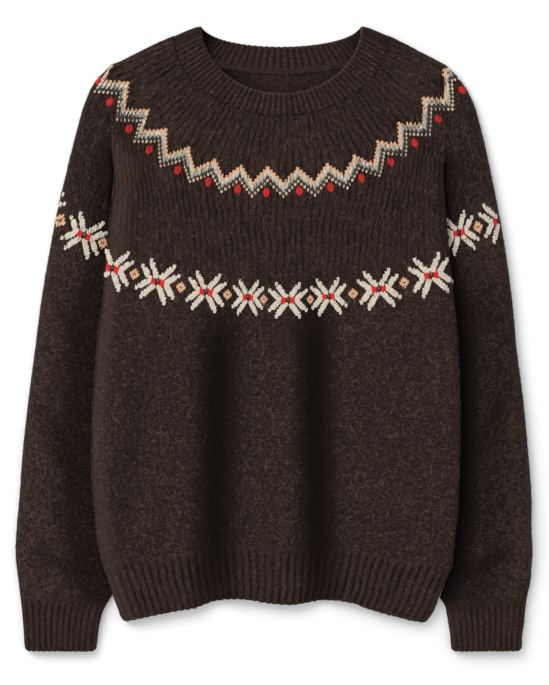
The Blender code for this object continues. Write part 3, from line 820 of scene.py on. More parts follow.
class Term:
    """A shader socket that takes part in Python sums; each sum adds its Math node."""

    def __init__(self, shade, socket):
        self.shade = shade
        self.socket = socket

    def math(self, operation, *others):
        inputs = dict(enumerate((self, *others)))
        return self.shade.node("Math", 0, {"operation": operation}, inputs)

    def __add__(self, other):
        return self.math("ADD", other)

    __radd__ = __add__

    def __sub__(self, other):
        return self.math("SUBTRACT", other)

    def __rsub__(self, other):
        return self.shade.node("Math", 0, {"operation": "SUBTRACT"}, {0: other, 1: self})

    def __mul__(self, other):
        return self.math("MULTIPLY", other)

    __rmul__ = __mul__

    def __pow__(self, other):
        return self.math("POWER", other)

    def __abs__(self):
        return self.math("ABSOLUTE")


BLACK = (0.0, 0.0, 0.0)
NOISE_MIDDLE = 0.5


class Shade:
    """A material's nodes, written as expressions."""

    def __init__(self, name, roughness, sheen=0.0):
        self.material = bpy.data.materials.new(name)
        self.material.use_nodes = True
        self.tree = self.material.node_tree
        self.shader = self.tree.nodes["Principled BSDF"]
        self.shader.inputs["Roughness"].default_value = roughness
        self.shader.inputs["Specular IOR Level"].default_value = 0.1
        self.shader.inputs["Sheen Weight"].default_value = sheen
        self.shader.inputs["Sheen Roughness"].default_value = 0.45

    def node(self, kind, output, settings=None, inputs=None):
        """One output of a new node, that takes its settings first and then its sockets."""
        node = self.tree.nodes.new("ShaderNode" + kind)
        for key, value in (settings or {}).items():
            setattr(node, key, value)
        for key, value in (inputs or {}).items():
            self.feed(value, node.inputs[key])
        return Term(self, node.outputs[output])

    def feed(self, value, socket):
        if isinstance(value, Term):
            self.tree.links.new(value.socket, socket)
        else:
            socket.default_value = value

    def surface(self, name, value):
        self.feed(value, self.shader.inputs[name])

    def mix(self, share, one, two):
        """Colours or links to them, mixed by a share."""
        inputs = {0: share}
        for key, value in ((6, one), (7, two)):
            inputs[key] = value if isinstance(value, Term) else (*value, 1.0)
        return self.node("Mix", 2, {"data_type": "RGBA"}, inputs)

    def noise(self, where, scale, detail=2.0, distortion=0.0):
        inputs = {"Vector": where, "Scale": scale, "Detail": detail, "Distortion": distortion}
        return self.node("TexNoise", 0, None, inputs)

    def bump(self, height, strength, distance):
        inputs = {"Strength": strength, "Distance": distance, "Height": height}
        self.surface("Normal", self.node("Bump", 0, None, inputs))


# Noise in the brushed wool: scale, detail, distortion
WANDER = (300.0, 1.0)
FELT = (620.0, 2.0, 0.6)
TUFTS = (260.0, 2.0, 0.9)
LINES = (240.0, 1.0, 1.8)
BROAD = (38.0, 2.0)
FLECKS = (900.0, 0.0)
FLECK_LEAST = 0.69  # the fleck noise shows as a lighter fibre above this
DYE_RANGE = 3.0  # the lightest tuft, in shares of the wool's ground colour


def knit_material(name, tone, relief, settings):
    """Brushed heather wool: loops in wales and courses under a felted, curling nap."""
    shade = Shade(name, 0.95, settings.sheen)
    shade.shader.inputs["Sheen Tint"].default_value = (*settings.nap, 1.0)
    where = shade.node("TexCoord", "Object")
    stitch = shade.node("Attribute", "Vector", {"attribute_name": "stitch"})
    parts = shade.node("SeparateXYZ", 0, None, {0: stitch}).socket.node
    u, v, clear = (Term(shade, output) for output in parts.outputs)
    lost = shade.node("Attribute", "Fac", {"attribute_name": "shade"})
    highlighted_and_rubbed = shade.node("Attribute", "Fac", {"attribute_name": "tint"})
    wander = shade.noise(where, *WANDER) - NOISE_MIDDLE
    side = abs((u + wander * 0.55).math("FRACT") - 0.5) * 2.0
    row = (v + wander * 0.6 + side * 0.6).math("FRACT")
    leg = (side * np.pi).math("SINE").math("MAXIMUM", 0.0) ** 0.8
    loop = leg * (row * np.pi).math("SINE").math("MAXIMUM", 0.0) ** 0.6
    felt = shade.noise(where, *FELT)
    tufts = shade.noise(where, *TUFTS)
    lines = shade.noise(where, *LINES)
    hairs = 1.0 - (abs(lines - NOISE_MIDDLE) * 16.0).math("MINIMUM", 1.0)
    broad = shade.noise(where, *BROAD)
    knit = 1.0 + clear * (loop * 1.1 - 0.5)
    nap = (felt * 1.8 + tufts * 0.9 + hairs * 0.35 - 0.78).math("MAXIMUM", 0.1)
    # Painted shade: the wool is darkened by the shade attribute.
    light = knit * nap * (0.75 + broad * 0.5) * (1.0 - lost * 0.93) * tone
    lightest = [c * DYE_RANGE for c in settings.wool]
    base_colour = shade.mix(light * (1.0 / DYE_RANGE), BLACK, lightest)
    # Painted highlight on the body's left fold, and wear from rubbing with a painted highlight on
    # free rims.
    base_colour = shade.mix(highlighted_and_rubbed * 0.55, base_colour, settings.highlighted_and_rubbed)
    # The lighter flecks are dimmed by the painted shade too.
    flecks = shade.noise(where, *FLECKS).math("GREATER_THAN", FLECK_LEAST) * (1.0 - lost * 0.8)
    shade.surface("Base Color", shade.mix(flecks * 0.5, base_colour, settings.heather))
    shade.bump(loop * clear * relief + felt * 0.6 + tufts * 0.8 + hairs * 0.4, 0.9, 0.0012)
    return shade.material


# Noise in the yarns' plies and dye and in the floor, as above
PLIES = (1400.0, 3.0, 0.5)
DYE = (160.0, 2.0)
FLOOR_GRAIN = (60.0, 3.0)


def yarn_material(name, colour):
    """Soft two-ply yarn, a little uneven in its dye."""
    shade = Shade(name, 0.9, 0.05)
    where = shade.node("TexCoord", "Object")
    fine = shade.noise(where, *PLIES)
    broad = shade.noise(where, *DYE)
    low = [c * 0.72 for c in colour]
    high = [min(c * 1.12, 0.95) for c in colour]
    share = (fine * 0.9 + broad * 0.7 - 0.3).math("MINIMUM", 1.0).math("MAXIMUM", 0.0)
    shade.surface("Base Color", shade.mix(share, low, high))
    shade.bump(fine, 0.4, 0.0004)
    return shade.material


def fibre_material(name, dark, light):
    """Loose wool, each strand with its own tone, darkened by the painted shade of the cloth that
    it lies on.
    """
    shade = Shade(name, 0.9, 0.05)
    tone = shade.node("Attribute", "Fac", {"attribute_name": "tone"})
    lost = shade.node("Attribute", "Fac", {"attribute_name": "shade"})
    base_colour = shade.mix(tone, dark, light)
    shade.surface("Base Color", shade.mix(lost * 0.9, base_colour, BLACK))
    return shade.material


def floor_material(colour):
    """Matt floor, uneven by less than the eye can tell."""
    shade = Shade("studio_floor", 0.8)
    where = shade.node("TexCoord", "Object")
    fine = shade.noise(where, *FLOOR_GRAIN)
    shade.surface("Base Color", shade.mix(fine, [c * 0.995 for c in colour], colour))
    return shade.material


# Distances in from a panel's sides at which its points stand before the even cells begin
ROUND_EDGES = (0.0, 0.1, 0.35, 0.8, 1.5, 2.4)
FINE_EDGES = ROUND_EDGES + (3.5, 4.7, 5.9, 7.1, 8.3, 9.5, 10.7, 11.9, 13.1, 14.3, 15.4)
COARSE_EDGES = (0.0, 1.1, 4.3, 9.2, 15.4)
BACK_EDGES = (0.0, 1.6, 6.5, 13.0, 20.0, 28.0, 37.0, 47.0, 57.0)
LINING_CELLS = 26
LINING_ROWS = 47
LINING_LEAST = 0.8  # the front's lining stays this far under its face
INSIDE_START = 3.1  # how far in from a side fold the lining begins
ROW_STEP = 2.2
WALE_PARTS = 3
HEM_DEPTH = 62.0
# How much the yoke's painted shade is lowered, which paints the yoke lighter.
YOKE_LIGHT = 0.32
PLAIN_CLEAR = 0.3  # how sharply the loops show where the wool is brushed
YOKE_CLEAR = 0.8  # and where the yoke's ridges stand out
RIB_CLEAR = 0.5
INSIDE_CLEAR = 0.7
SEAM_DROP = 0.9  # how far the front dips under the neckband's seam
BAND_SHADE = 0.2  # light lost there


def front_shade(points):
    """Share of the light that is lost in the front's troughs and at its armholes."""
    kept = np.ones(len(points))
    for *ends, half, most in LOST_LIGHT:
        share, across = bell(points, ends, half)
        along = smooth(share, 0.0, 0.24) * (1.0 - 0.3 * smooth(share, 0.82, 1.0))
        kept *= 1.0 - most * across**0.9 * along
    return 1.0 - kept


def painted_fold_highlight(points):
    """Painted highlight on the body's left fold, which faces the light."""
    beside = away(points, SIDE_LINES[0])
    high = smooth(points[:, 1], 60.0, 120.0)
    fades = 1.0 - smooth(beside, 6.0 + 5.0 * high, 24.0 + 7.0 * high)
    below_shoulder = 1.0 - smooth(points[:, 1], 190.0, 250.0)
    return 0.5 * below_shoulder * smooth(beside, 0.5, 5.0) * fades


def sheet_grid(rows, height, edges, cells, start=0.0, wales=FRONT_WALES, clear=PLAIN_CLEAR):
    """A panel's face: one line of points for each course."""
    plans, stitches, turns = [], [], []
    for down, curve in rows:
        plan, share, turn = spread(curve, edges, cells, start)
        plans.append(plan)
        turns.append(turn)
        level = np.full(len(plan), down / COURSE)
        stitches.append(np.column_stack((share * wales, level, np.full(len(plan), clear))))
    plan = np.array(plans)
    flat = plan.reshape(-1, 2)
    z, shade, tint = (
        values(flat).reshape(plan.shape[:2]) for values in (height, front_shade, painted_fold_highlight)
    )
    return Side(np.dstack((plan, z)), np.array(stitches), shade, tint, np.array(turns))


def panel_curves(downs, back=False):
    """Distances down the middle of a panel and its courses there."""
    for down, row in zip(downs, course_rows(downs)):
        sag = row[7] if back else row[4]
        wave = 0.0 if back else of_table(WAVE_SHARE, down)
        yield down, course(row[:4], sag, row[5], row[6], wave)


def hem_curves(shares, back=False):
    """Distances down a hem rib and its courses there."""
    for share, row in zip(shares, hem_rows(shares)):
        wave = 0.0 if back else row[6]
        yield share * HEM_DEPTH, course(row[:4], row[5] if back else row[4], 2.0, 1.0, wave)


def yoke_share(downs):
    """How far the yoke's radiating ridges stand out at a distance down the middle."""
    return smooth(downs, 0.0, 3.0) * (1.0 - smooth(downs, 130.0, 215.0))


def raise_ridges(face, downs, settings):
    """The yoke's wandering ridges over fainter wales, which run on below them."""
    share = yoke_share(downs)[:, None]
    inner = smooth(face.turn, 0.0, 0.04) * (1.0 - smooth(face.turn, 0.96, 1.0))
    face.points[:, :, 0] += hills(face.points, RIDGE_WANDER_X) * inner * share
    face.points[:, :, 1] += hills(face.points, RIDGE_WANDER_Y) * inner * share
    ridge = crests(face.turn * RIDGES)
    wale = crests(face.turn * FRONT_WALES)
    patchy = np.clip(0.95 + hills(face.points, RIDGE_PATCHES), 0.2, 1.7)
    face.points[:, :, 2] += settings.ridge_height * (ridge - 0.4) * share * patchy
    face.points[:, :, 2] += (wale - 0.5) * (0.12 + 0.5 * share) * patchy
    face.points[:, :, 2] += hills(face.points, YOKE_HILLS) * (0.25 + 0.75 * share)
    # Painted shade in the grooves between the ridges and wales, then the whole yoke painted
    # lighter by YOKE_LIGHT.
    groove = ((1.0 - ridge) * 0.55 + (1.0 - wale) * 0.18) * patchy
    face.shade = lose(face.shade, groove * (0.1 + 0.9 * share)) - YOKE_LIGHT * share
    face.stitch[:, :, 2] += share * (YOKE_CLEAR - PLAIN_CLEAR)


def front_inside_height(plan):
    return front_height(plan, PANEL_WALL)


def front_lining_height(plan):
    return np.minimum(front_inside_height(plan), front_height(plan) - LINING_LEAST)


def front_shell(settings):
    last = COURSES[-1][0]
    downs = np.linspace(0.0, last, int(last / ROW_STEP) + 1)
    cells = FRONT_WALES * WALE_PARTS
    face = sheet_grid(panel_curves(downs), front_height, FINE_EDGES, cells)
    raise_ridges(face, downs, settings)
    face.points[:, :, 2] -= SEAM_DROP * (1.0 - smooth(downs, 0.0, 4.0))[:, None]
    face.shade = lose(face.shade, BAND_SHADE * (1.0 - smooth(downs, 0.0, 8.0))[:, None])
    curves = panel_curves(np.linspace(0.0, last, LINING_ROWS))
    lining = sheet_grid(curves, front_lining_height, COARSE_EDGES, LINING_CELLS, INSIDE_START)
    lining.points[0, :, 2] -= 1.0
    return make_shell("front_knit", face, lining)


NECK_TUCK = 1.6  # how far the back's neckline runs in under the neckband's seam
BACK_CELLS = 90
BACK_UNDER_CELLS = 40
BACK_UNDER_ROWS = 93
BACK_NECK_STEP = 2.5  # courses are closer down to here, where the neck opening shows them
BACK_NECK_END = 100.0
BACK_ROWS = 74


def free_edge(x):
    """Height in plan of the neckband's free front edge."""
    across = np.clip((x - NECK_CENTRE) / NECK_FREE["half"], -1.0, 1.0)
    return NECK_FREE["end"] - NECK_FREE["front"] * np.sqrt(1.0 - across**2)


def back_face_height(plan):
    return back_height(plan) + PANEL_WALL


def inside_shade(points):
    """Light lost inside the neck: under the shoulders and behind the neckband's free edge."""
    x, y = points[:, :, 0], points[:, :, 1]
    from_left = smooth(x, -85.0, -20.0)
    from_right = 1.0 - smooth(x, 50.0, 100.0)
    hidden = (1.0 - smooth(y - free_edge(x), 0.0, 24.0)) * (1.0 - smooth(x, -70.0, 25.0))
    kept = 0.92 * (0.2 + 0.8 * from_left) * (0.4 + 0.6 * from_right)
    return 1.0 - kept * (1.0 - 0.6 * hidden)


def back_shell():
    last = COURSES[-1][0]
    near_neck = np.arange(0.0, BACK_NECK_END, BACK_NECK_STEP)
    downs = np.concatenate((near_neck, np.linspace(BACK_NECK_END, last, BACK_ROWS)))
    face = sheet_grid(panel_curves(downs, True), back_face_height, BACK_EDGES, BACK_CELLS)
    inside = np.linspace(0.0, last, BACK_UNDER_ROWS)
    under = sheet_grid(panel_curves(inside, True), back_height, BACK_EDGES, BACK_UNDER_CELLS)
    for side, rows in ((face, downs), (under, inside)):
        middle = np.sin(np.pi * np.clip(side.turn * 0.7 + 0.15, 0.0, 1.0)) ** 2
        side.points[:, :, 1] += NECK_TUCK * middle * (1.0 - smooth(rows, 0.0, 8.0))[:, None]
        side.shade = inside_shade(side.points)
        side.stitch[:, :, 2] = INSIDE_CLEAR
    return make_shell("back_knit", face, under)


HEM_ROWS = 34
HEM_LINING_ROWS = 10
RIB_PARTS = 7  # points across a rib of the hem
BACK_RIB = 0.6  # relief of the back hem rib, as a share of the front's


def hem_shell(back, settings):
    flat_share = 1.0 - RIM_START / HEM_DEPTH
    shares = np.concatenate((np.linspace(0.0, flat_share, HEM_ROWS), 1.0 - RIM_STEPS / HEM_DEPTH))
    edges = BACK_EDGES[:3] if back else FINE_EDGES
    height = back_face_height if back else front_height
    options = dict(wales=2 * HEM_RIBS + 4, clear=RIB_CLEAR)
    face = sheet_grid(hem_curves(shares, back), height, edges, HEM_RIBS * RIB_PARTS, **options)
    down = (shares * HEM_DEPTH)[:, None]
    from_rim = HEM_DEPTH - down
    begun = smooth(down, 0.0, 9.0)
    crest = crests(face.turn * HEM_RIBS + hills(face.points, HEM_RIB_WANDER), 1.9)
    patchy = 0.9 + hills(face.points, HEM_RIB_PATCHES)
    rise = settings.rib_height * (BACK_RIB if back else 1.0) * begun
    face.points[:, :, 2] += rise * (crest * patchy - 0.4) - rim_drop(from_rim)
    face.points[:, :, 1] -= scallop(crest, from_rim)
    groove = RIB_SHADE * (1.0 - crest) * begun * patchy
    face.shade = lose(face.shade, groove, rim_shade(from_rim))
    face.tint = face.tint + rim_wear_and_highlight(from_rim)
    coarse = np.linspace(0.0, flat_share, HEM_LINING_ROWS)
    coarse = np.concatenate((coarse, (1.0 - 0.4 / HEM_DEPTH, 1.0)))
    curves = hem_curves(coarse, back)
    cells = LINING_CELLS * 2
    if back:
        lining = sheet_grid(curves, back_height, BACK_EDGES[:3], cells, 0.0, **options)
    else:
        lining = sheet_grid(
            curves, front_inside_height, COARSE_EDGES, cells, INSIDE_START, **options
        )
    raised = rim_drop((1.0 - coarse) * HEM_DEPTH) * (BACK_RIB if back else 1.0)
    lining.points[:, :, 2] += raised[:, None]
    lining.shade += 0.3
    return make_shell("hem_rib_back_knit" if back else "hem_rib_front_knit", face, lining)


# Shares of the way across a sleeve at which its points stand: on top from the outer fold to the
# inner one, then underneath and back
TOP_FINE = np.concatenate(
    (
        (0.0, 0.001, 0.004, 0.009, 0.017, 0.028, 0.042),
        np.linspace(0.06, 0.94, 78),
        (0.958, 0.972, 0.983, 0.991, 0.996, 0.999, 1.0),
    )
)
UNDER_EDGE = (0.998, 0.99, 0.975, 0.95)
UNDER_FINE = np.array(UNDER_EDGE + (0.9, 0.8, 0.65, 0.5, 0.35, 0.2, 0.1, 0.05, 0.025, 0.01, 0.002))
TOP_EDGE = (0.0, 0.012, 0.045, 0.1, 0.17, 0.27)
TOP_COARSE = np.array(TOP_EDGE + (0.38, 0.49, 0.6, 0.7, 0.79, 0.86, 0.92, 0.955, 0.982, 1.0))
UNDER_COARSE = np.array((0.985, 0.94, 0.7, 0.5, 0.3, 0.06, 0.015))
CUFF_FINE = np.concatenate(
    (
        (0.0, 0.002, 0.008, 0.018, 0.033, 0.05, 0.065),
        np.linspace(0.08, 0.92, 105),
        (0.935, 0.95, 0.967, 0.982, 0.992, 0.998, 1.0),
    )
)
SLEEVE_INSET = 1.1  # how far in a lining's points stand, in walls
CUFF_INSET = 1.05
SLEEVE_LINING_STEP = 12.0
FIRST_WALE = 40.0  # wales are counted from far outside, so that no count is negative


def across(section, shares, inset):
    """Plan points across a sleeve's section, from the outer fold to the inner one."""
    outer, inner, bow = section[0:2], section[2:4], section[4]
    run = inner - outer
    length = np.hypot(*run)
    shares = inset / length + shares * (1.0 - 2.0 * inset / length)
    side = np.array((run[1], -run[0])) / length
    outwards = abs(side[1]) < abs(side[0]) and side[0] * outer[0] > 0
    if side[1] >= 0 and not outwards:
        side = -side
    bulge = (bow * 4.0 * shares * (1.0 - shares))[:, None] * side
    return outer + shares[:, None] * run + bulge


def sleeve_height(points, name, near_armhole, wall=0.0, lines=None):
    """Face of a sleeve's upper side, or its inside where wall is the cloth's thickness."""
    outer_line, inner_line = lines or SLEEVE_LINES[name]
    side, outward = (SIDE_LINES[0], -1.0) if name == "sleeve_left" else (SIDE_LINES[1], 1.0)
    fold_x = np.interp(points[:, 1], side[::-1, 1], side[::-1, 0])
    below = points[:, 1] < side[0][1]
    inside = below & ((points[:, 0] - fold_x) * outward < 0.0)
    clear = np.where(inside, 0.0, away(points, side))
    loft = of_table(SLEEVE_LOFT, points[:, 1])
    lift = MARGIN_LIFT * of_table(LIFT_SHARE, points[:, 1])
    margin = np.clip(lift - MARGIN_CLEAR, MARGIN_LEAST, MARGIN_TOP)
    margin = np.where(below, margin, MARGIN_TOP)
    full = margin + (loft - margin) * smooth(clear, 0.0, CREVICE)
    full = full * (1.0 - near_armhole) + of_table(BODY_LOFT, points[:, 1]) * near_armhole
    free = smooth(clear, 0.0, CREASE_CLEAR)
    full -= folds(points, SLEEVE_FOLDS) * free
    if not wall:
        full += hills(points, SLEEVE_HILLS) * free
    inner_reach = MARGIN_ROLL + (BODY_ROLL - MARGIN_ROLL) * near_armhole
    rise = roll(away(points, outer_line) - wall, BODY_ROLL - wall)
    rise = rise * roll(away(points, inner_line) - wall, inner_reach - wall)
    return SLEEVE_EDGE + (full - wall - SLEEVE_EDGE) * rise


def under_height(points, lines, wall=0.0):
    """Underside of a sleeve: flat on the floor, and rolled up towards both folds."""
    edge = from_lines(points, lines) - wall
    return wall + (SLEEVE_EDGE - wall) * (1.0 - roll(edge, SLEEVE_ROLL - wall * 0.5))


def sleeve_shade(points, name):
    """Light is lost beside the body, more on the right where the body overhangs the sleeve."""
    if name == "sleeve_left":
        gap = away(points, SIDE_LINES[0])
        low = 0.56 * (1.0 - smooth(gap, 18.0, 56.0))
        high = 0.5 * (1.0 - smooth(gap, 6.0, 30.0))
    else:
        gap = away(points, SIDE_LINES[1])
        low = np.maximum(1.0 - smooth(gap, 5.0, 42.0), 0.46 * (1.0 - smooth(gap, 34.0, 84.0)))
        high = np.minimum(1.06 * np.exp(-gap / 11.0), 1.0)
    beside = low + (high - low) * smooth(points[:, 1], 20.0, 110.0)
    return lose(beside, 0.16 * folds(points, SLEEVE_FOLDS), SLEEVE_DUSK)


def tube_plan(rows, top_shares, under_shares, inset):
    """Plan of a tube's upper side and of its under side, a line of points for each section."""
    top = np.array([across(row, top_shares, inset) for row in rows])
    under = np.array([across(row, under_shares, inset) for row in rows])
    return top, under


def sleeve_grid(name, step, top_shares, under_shares, wall):
    """A sleeve's face, or its lining where wall is the cloth's thickness."""
    at, rows = sleeve_rows(name, step)
    top, under = tube_plan(rows, top_shares, under_shares, wall * SLEEVE_INSET)
    near = np.repeat(1.0 - smooth(rows[:, 5], 0.0, ARMHOLE_SECTIONS), top.shape[1])
    z_top = sleeve_height(top.reshape(-1, 2), name, near, wall).reshape(top.shape[:2])
    z_under = under_height(under.reshape(-1, 2), SLEEVE_LINES[name], wall).reshape(under.shape[:2])
    plan = np.concatenate((top, under), axis=1)
    width = np.hypot(rows[:, 2] - rows[:, 0], rows[:, 3] - rows[:, 1])[:, None]
    shares = np.concatenate((top_shares, 2.0 - under_shares))[None, :]
    u = (shares - 0.5) * width / WALE + FIRST_WALE
    v = np.repeat(at[:, None] / COURSE, shares.shape[1], axis=1)
    clear = np.full(u.shape, PLAIN_CLEAR)
    shade = sleeve_shade(plan.reshape(-1, 2), name).reshape(u.shape)
    if not wall:
        yoke = 1.0 - smooth(rows[:, 5], 3.0, 7.5)[:, None]
        groove = 1.0 - np.abs(np.sin(np.pi * u)) ** 0.6
        z_top -= ((0.5 * yoke + 0.1) * groove)[:, : top.shape[1]]
        shade = lose(shade, (0.1 + 0.45 * yoke) * groove)
        clear = clear + 0.4 * yoke
    height = np.concatenate((z_top, z_under), axis=1)
    return Side(np.dstack((plan, height)), np.dstack((u, v, clear)), shade)


def sleeve_shell(name):
    face = sleeve_grid(name, ROW_STEP, TOP_FINE, UNDER_FINE, 0.0)
    lining = sleeve_grid(name, SLEEVE_LINING_STEP, TOP_COARSE, UNDER_COARSE, SLEEVE_WALL)
    return make_shell(name + "_knit", face, lining, ring=True)


CUFF_ROWS = 34
CUFF_LINING_ROWS = 8
CUFF_RELIEF = 0.8  # relief of a cuff's ribs, as a share of the hem's
CUFF_LINING_SHADE = 0.5
CUFF_BLEND = 26.0  # how far down the sleeve's form goes over into the cuff's


def cuff_side(name, table, at, top_shares, under_shares, wall, settings):
    """The ribbed face of a cuff, or its lining where wall is the cloth's thickness."""
    sleeve = name.replace("cuff", "sleeve")
    lines = two_lines(table)
    whole = [np.vstack((one, two[1:])) for one, two in zip(SLEEVE_LINES[sleeve], lines)]
    keys = section_lengths(table)
    rows = through(keys, table, at)
    top, under = tube_plan(rows, top_shares, under_shares, wall * CUFF_INSET)
    flat = top.reshape(-1, 2)
    from_rim = (keys[-1] - at)[:, None]
    rise = roll(away(flat, lines[0]) - wall, CUFF_ROLL - wall)
    rise = rise * roll(away(flat, lines[1]) - wall, CUFF_ROLL - wall)
    loft = of_table(SLEEVE_LOFT, flat[:, 1]) - wall
    z_cuff = (SLEEVE_EDGE + (loft - SLEEVE_EDGE) * rise).reshape(top.shape[:2])
    z_sleeve = sleeve_height(flat, sleeve, 0.0, wall, whole).reshape(top.shape[:2])
    z_top = z_sleeve + (z_cuff - z_sleeve) * smooth(at, 0.0, CUFF_BLEND)[:, None]
    z_under = under_height(under.reshape(-1, 2), lines, wall).reshape(under.shape[:2])
    way = 1.0 if wall == 0.0 else -1.0
    z_under += rim_drop(from_rim) * 0.8 * way
    on_top = len(top_shares)
    tint = np.zeros((len(at), on_top + len(under_shares)))
    shade = np.full(tint.shape, 0.0 if wall == 0.0 else CUFF_LINING_SHADE)
    if wall == 0.0:
        begun = smooth(at, 0.0, 12.0)[:, None]
        patchy = 0.85 + hills(top, CUFF_RIB_PATCHES)
        crest = crests(top_shares * CUFF_RIBS, 1.9)[None, :]
        z_top += CUFF_RELIEF * settings.rib_height * begun * (crest * patchy - 0.4)
        groove = RIB_SHADE * (1.0 - crest) * begun * patchy
        beside = sleeve_shade(flat, sleeve).reshape(top.shape[:2])
        beside = beside * (1.0 - smooth(at, 0.0, 22.0))[:, None]
        shade[:, :on_top] = lose(groove, rim_shade(from_rim), beside)
        tint[:, :on_top] = rim_wear_and_highlight(from_rim)
        top[:, :, 1] -= scallop(crest, from_rim)
    z_top -= rim_drop(from_rim) * way
    u = np.concatenate((top_shares, 2.0 - under_shares))[None, :] * (2 * CUFF_RIBS + 2)
    u = np.repeat(u, len(at), axis=0)
    v = np.repeat(at[:, None] / COURSE, u.shape[1], axis=1)
    points = np.dstack((np.concatenate((top, under), axis=1), np.hstack((z_top, z_under))))
    return Side(points, np.dstack((u, v, np.full(u.shape, RIB_CLEAR))), shade, tint)


def cuff_shell(name, settings):
    left = name == "cuff_left"
    sections, sleeve = (CUFF_LEFT, SLEEVE_LEFT) if left else (CUFF_RIGHT, SLEEVE_RIGHT)
    table = np.array((sleeve[-1][:4], *sections), float)
    table = np.column_stack((table, np.zeros(len(table))))
    depth = section_lengths(table)[-1]
    start = depth - RIM_START
    at = np.concatenate((np.linspace(0.0, start, CUFF_ROWS), depth - RIM_STEPS))
    face = cuff_side(name, table, at, CUFF_FINE, UNDER_FINE, 0.0, settings)
    at = np.concatenate((np.linspace(0.0, start, CUFF_LINING_ROWS), (depth - 0.5, depth)))
    lining = cuff_side(name, table, at, TOP_COARSE, UNDER_COARSE, RIB_WALL, settings)
    return make_shell(name + "_knit", face, lining, ring=True)


CORNER_WIDTH = 0.09
NECK_WIDTH = 26.0
NECK_PARTS = 6  # points for each rib of the neckband
# Places near the neckband's two corners, in shares of the roll's reach over the corner's depth
NECK_CORNER = (0.0, 0.02, 0.06, 0.12, 0.2, 0.32)
NECK_CORNER_DEPTH = 30.0
NECK_CORNER_CREST = 0.3
NECK_SEAM_STEPS = np.array((0.0, 0.6, 1.4, 2.4))
NECK_ROWS = np.linspace(0.13, 0.9, 12)


def neck_point(angle, share, inner):
    """Points of the neckband; angle 0..pi runs along the front, pi..2 pi along the back."""
    at_front = np.sin(angle) >= 0.0
    sine = np.abs(np.sin(angle))
    plan = []
    for ring in (NECK_SEAM, NECK_FREE):
        depth = np.where(at_front, ring["front"], ring["back"])
        x = NECK_CENTRE - ring["half"] * np.cos(angle)
        plan.append(np.column_stack((x, ring["end"] - depth * sine)))
    points = plan[0] + share * (plan[1] - plan[0])
    points[:, 1] -= CORNER_ROUND * share**6 * np.exp(-((sine / CORNER_WIDTH) ** 2))
    drop = np.where(at_front, NECK_SEAM["front"], NECK_SEAM["back"]) * sine
    half = NECK_HEIGHT / 2.0
    way = np.where(at_front, 1.0, -1.0)
    if inner:
        fade = RIB_WALL * (1.0 - np.clip(drop / NECK_ROLL, 0.0, 1.0))
        points[:, 0] += fade * NECK_INWARD[0] * np.sign(np.cos(angle))
        points[:, 1] += fade * NECK_INWARD[1]
        reach = NECK_ROLL - RIB_WALL
        height = half + way * (half - RIB_WALL) * roll(drop * reach / NECK_ROLL, reach)
    else:
        height = half + way * half * roll(drop, NECK_ROLL)
    return np.column_stack((points, height))


def neck_round():
    """Angles of the points round the neckband, and the ribs' relief at the front and back."""
    near = np.arcsin(np.array(NECK_CORNER) * NECK_ROLL / NECK_CORNER_DEPTH)
    first = near[-1]
    front = np.linspace(first, np.pi - first, NECK_RIBS_FRONT * NECK_PARTS + 1)
    back = np.linspace(first, np.pi - first, NECK_RIBS_BACK * NECK_PARTS + 1) + np.pi
    front = (near[:-1], front, (np.pi - near[:-1])[::-1])
    back = (np.pi + near[1:-1], back, 2 * np.pi - near[1:-1][::-1])
    angles = np.concatenate((*front, *back))
    ribs = []
    for start, count in ((0.0, NECK_RIBS_FRONT), (np.pi, NECK_RIBS_BACK)):
        turn = (angles - start - first) / (np.pi - 2 * first) * count
        on_rib = (turn > 0.0) & (turn < count)
        ribs.append(np.where(on_rib, crests(turn, 1.8), NECK_CORNER_CREST))
    return angles, *ribs


def neck_side(angles, crest, shares, inner, settings):
    """The right side of the neckband, or the inner side that shows at the back neck."""
    up = np.sin(angles) >= 0.0
    visible = up != inner
    way = np.where(visible, 1.0, -1.0)
    rows, shades, highlights_and_wear = [], [], []
    for share in shares:
        from_seam, from_rim = share * NECK_WIDTH, (1.0 - share) * NECK_WIDTH
        begun = smooth(from_seam, 2.0, 8.0) if inner else smooth(from_seam, -1.0, 2.0)
        points = neck_point(angles, share, inner)
        level = np.abs(points[:, 2] - NECK_HEIGHT / 2.0) * 2.0 / NECK_HEIGHT
        level = np.clip(level, 0.0, 1.0)
        relief = settings.rib_height * 0.9 * begun * (crest - 0.35)
        points[:, 2] += np.where(visible, relief, 0.0)
        points[:, 2] -= way * (rim_drop(from_rim) * 0.95 + 0.4 * rim_drop(from_seam)) * level
        standing = smooth(from_seam, NECK_WIDTH - 5.0, NECK_WIDTH) * np.abs(np.sin(angles))
        points[:, 1] += SCALLOP * (crest - 0.6) * standing
        rows.append(points)
        # Painted shadow in the inner corners of the neckband at the back neck, darkest at the left
        # one.
        deep = np.where(angles > 1.5 * np.pi, 0.95, 0.3) * inner
        corner = deep * (1.0 - smooth(np.abs(np.sin(angles)), 0.45, 0.85))
        # Near the free rim the grooves' painted shade is halved, and the rim is made lighter: wear
        # from rubbing and a painted highlight, faint on the inner side and none at the left end.
        rim_wear_and_light = 1.0 - smooth(from_rim, 0.5, 2.2)
        groove = RIB_SHADE * (1.0 - crest) * (1.0 - 0.5 * rim_wear_and_light) * (begun if inner else 1.0)
        shades.append(lose(groove, corner))
        highlights_and_wear.append(rim_wear_and_light * (0.25 if inner else 1.0) * smooth(points[:, 0], -75.0, -20.0))
    around = angles / (2 * np.pi) * 2.0 * (NECK_RIBS_FRONT + NECK_RIBS_BACK)
    wales, courses = np.meshgrid(around, shares * NECK_WIDTH / COURSE)
    stitch = np.dstack((wales, courses, np.full(wales.shape, RIB_CLEAR)))
    return Side(np.array(rows), stitch, np.array(shades), np.array(highlights_and_wear))


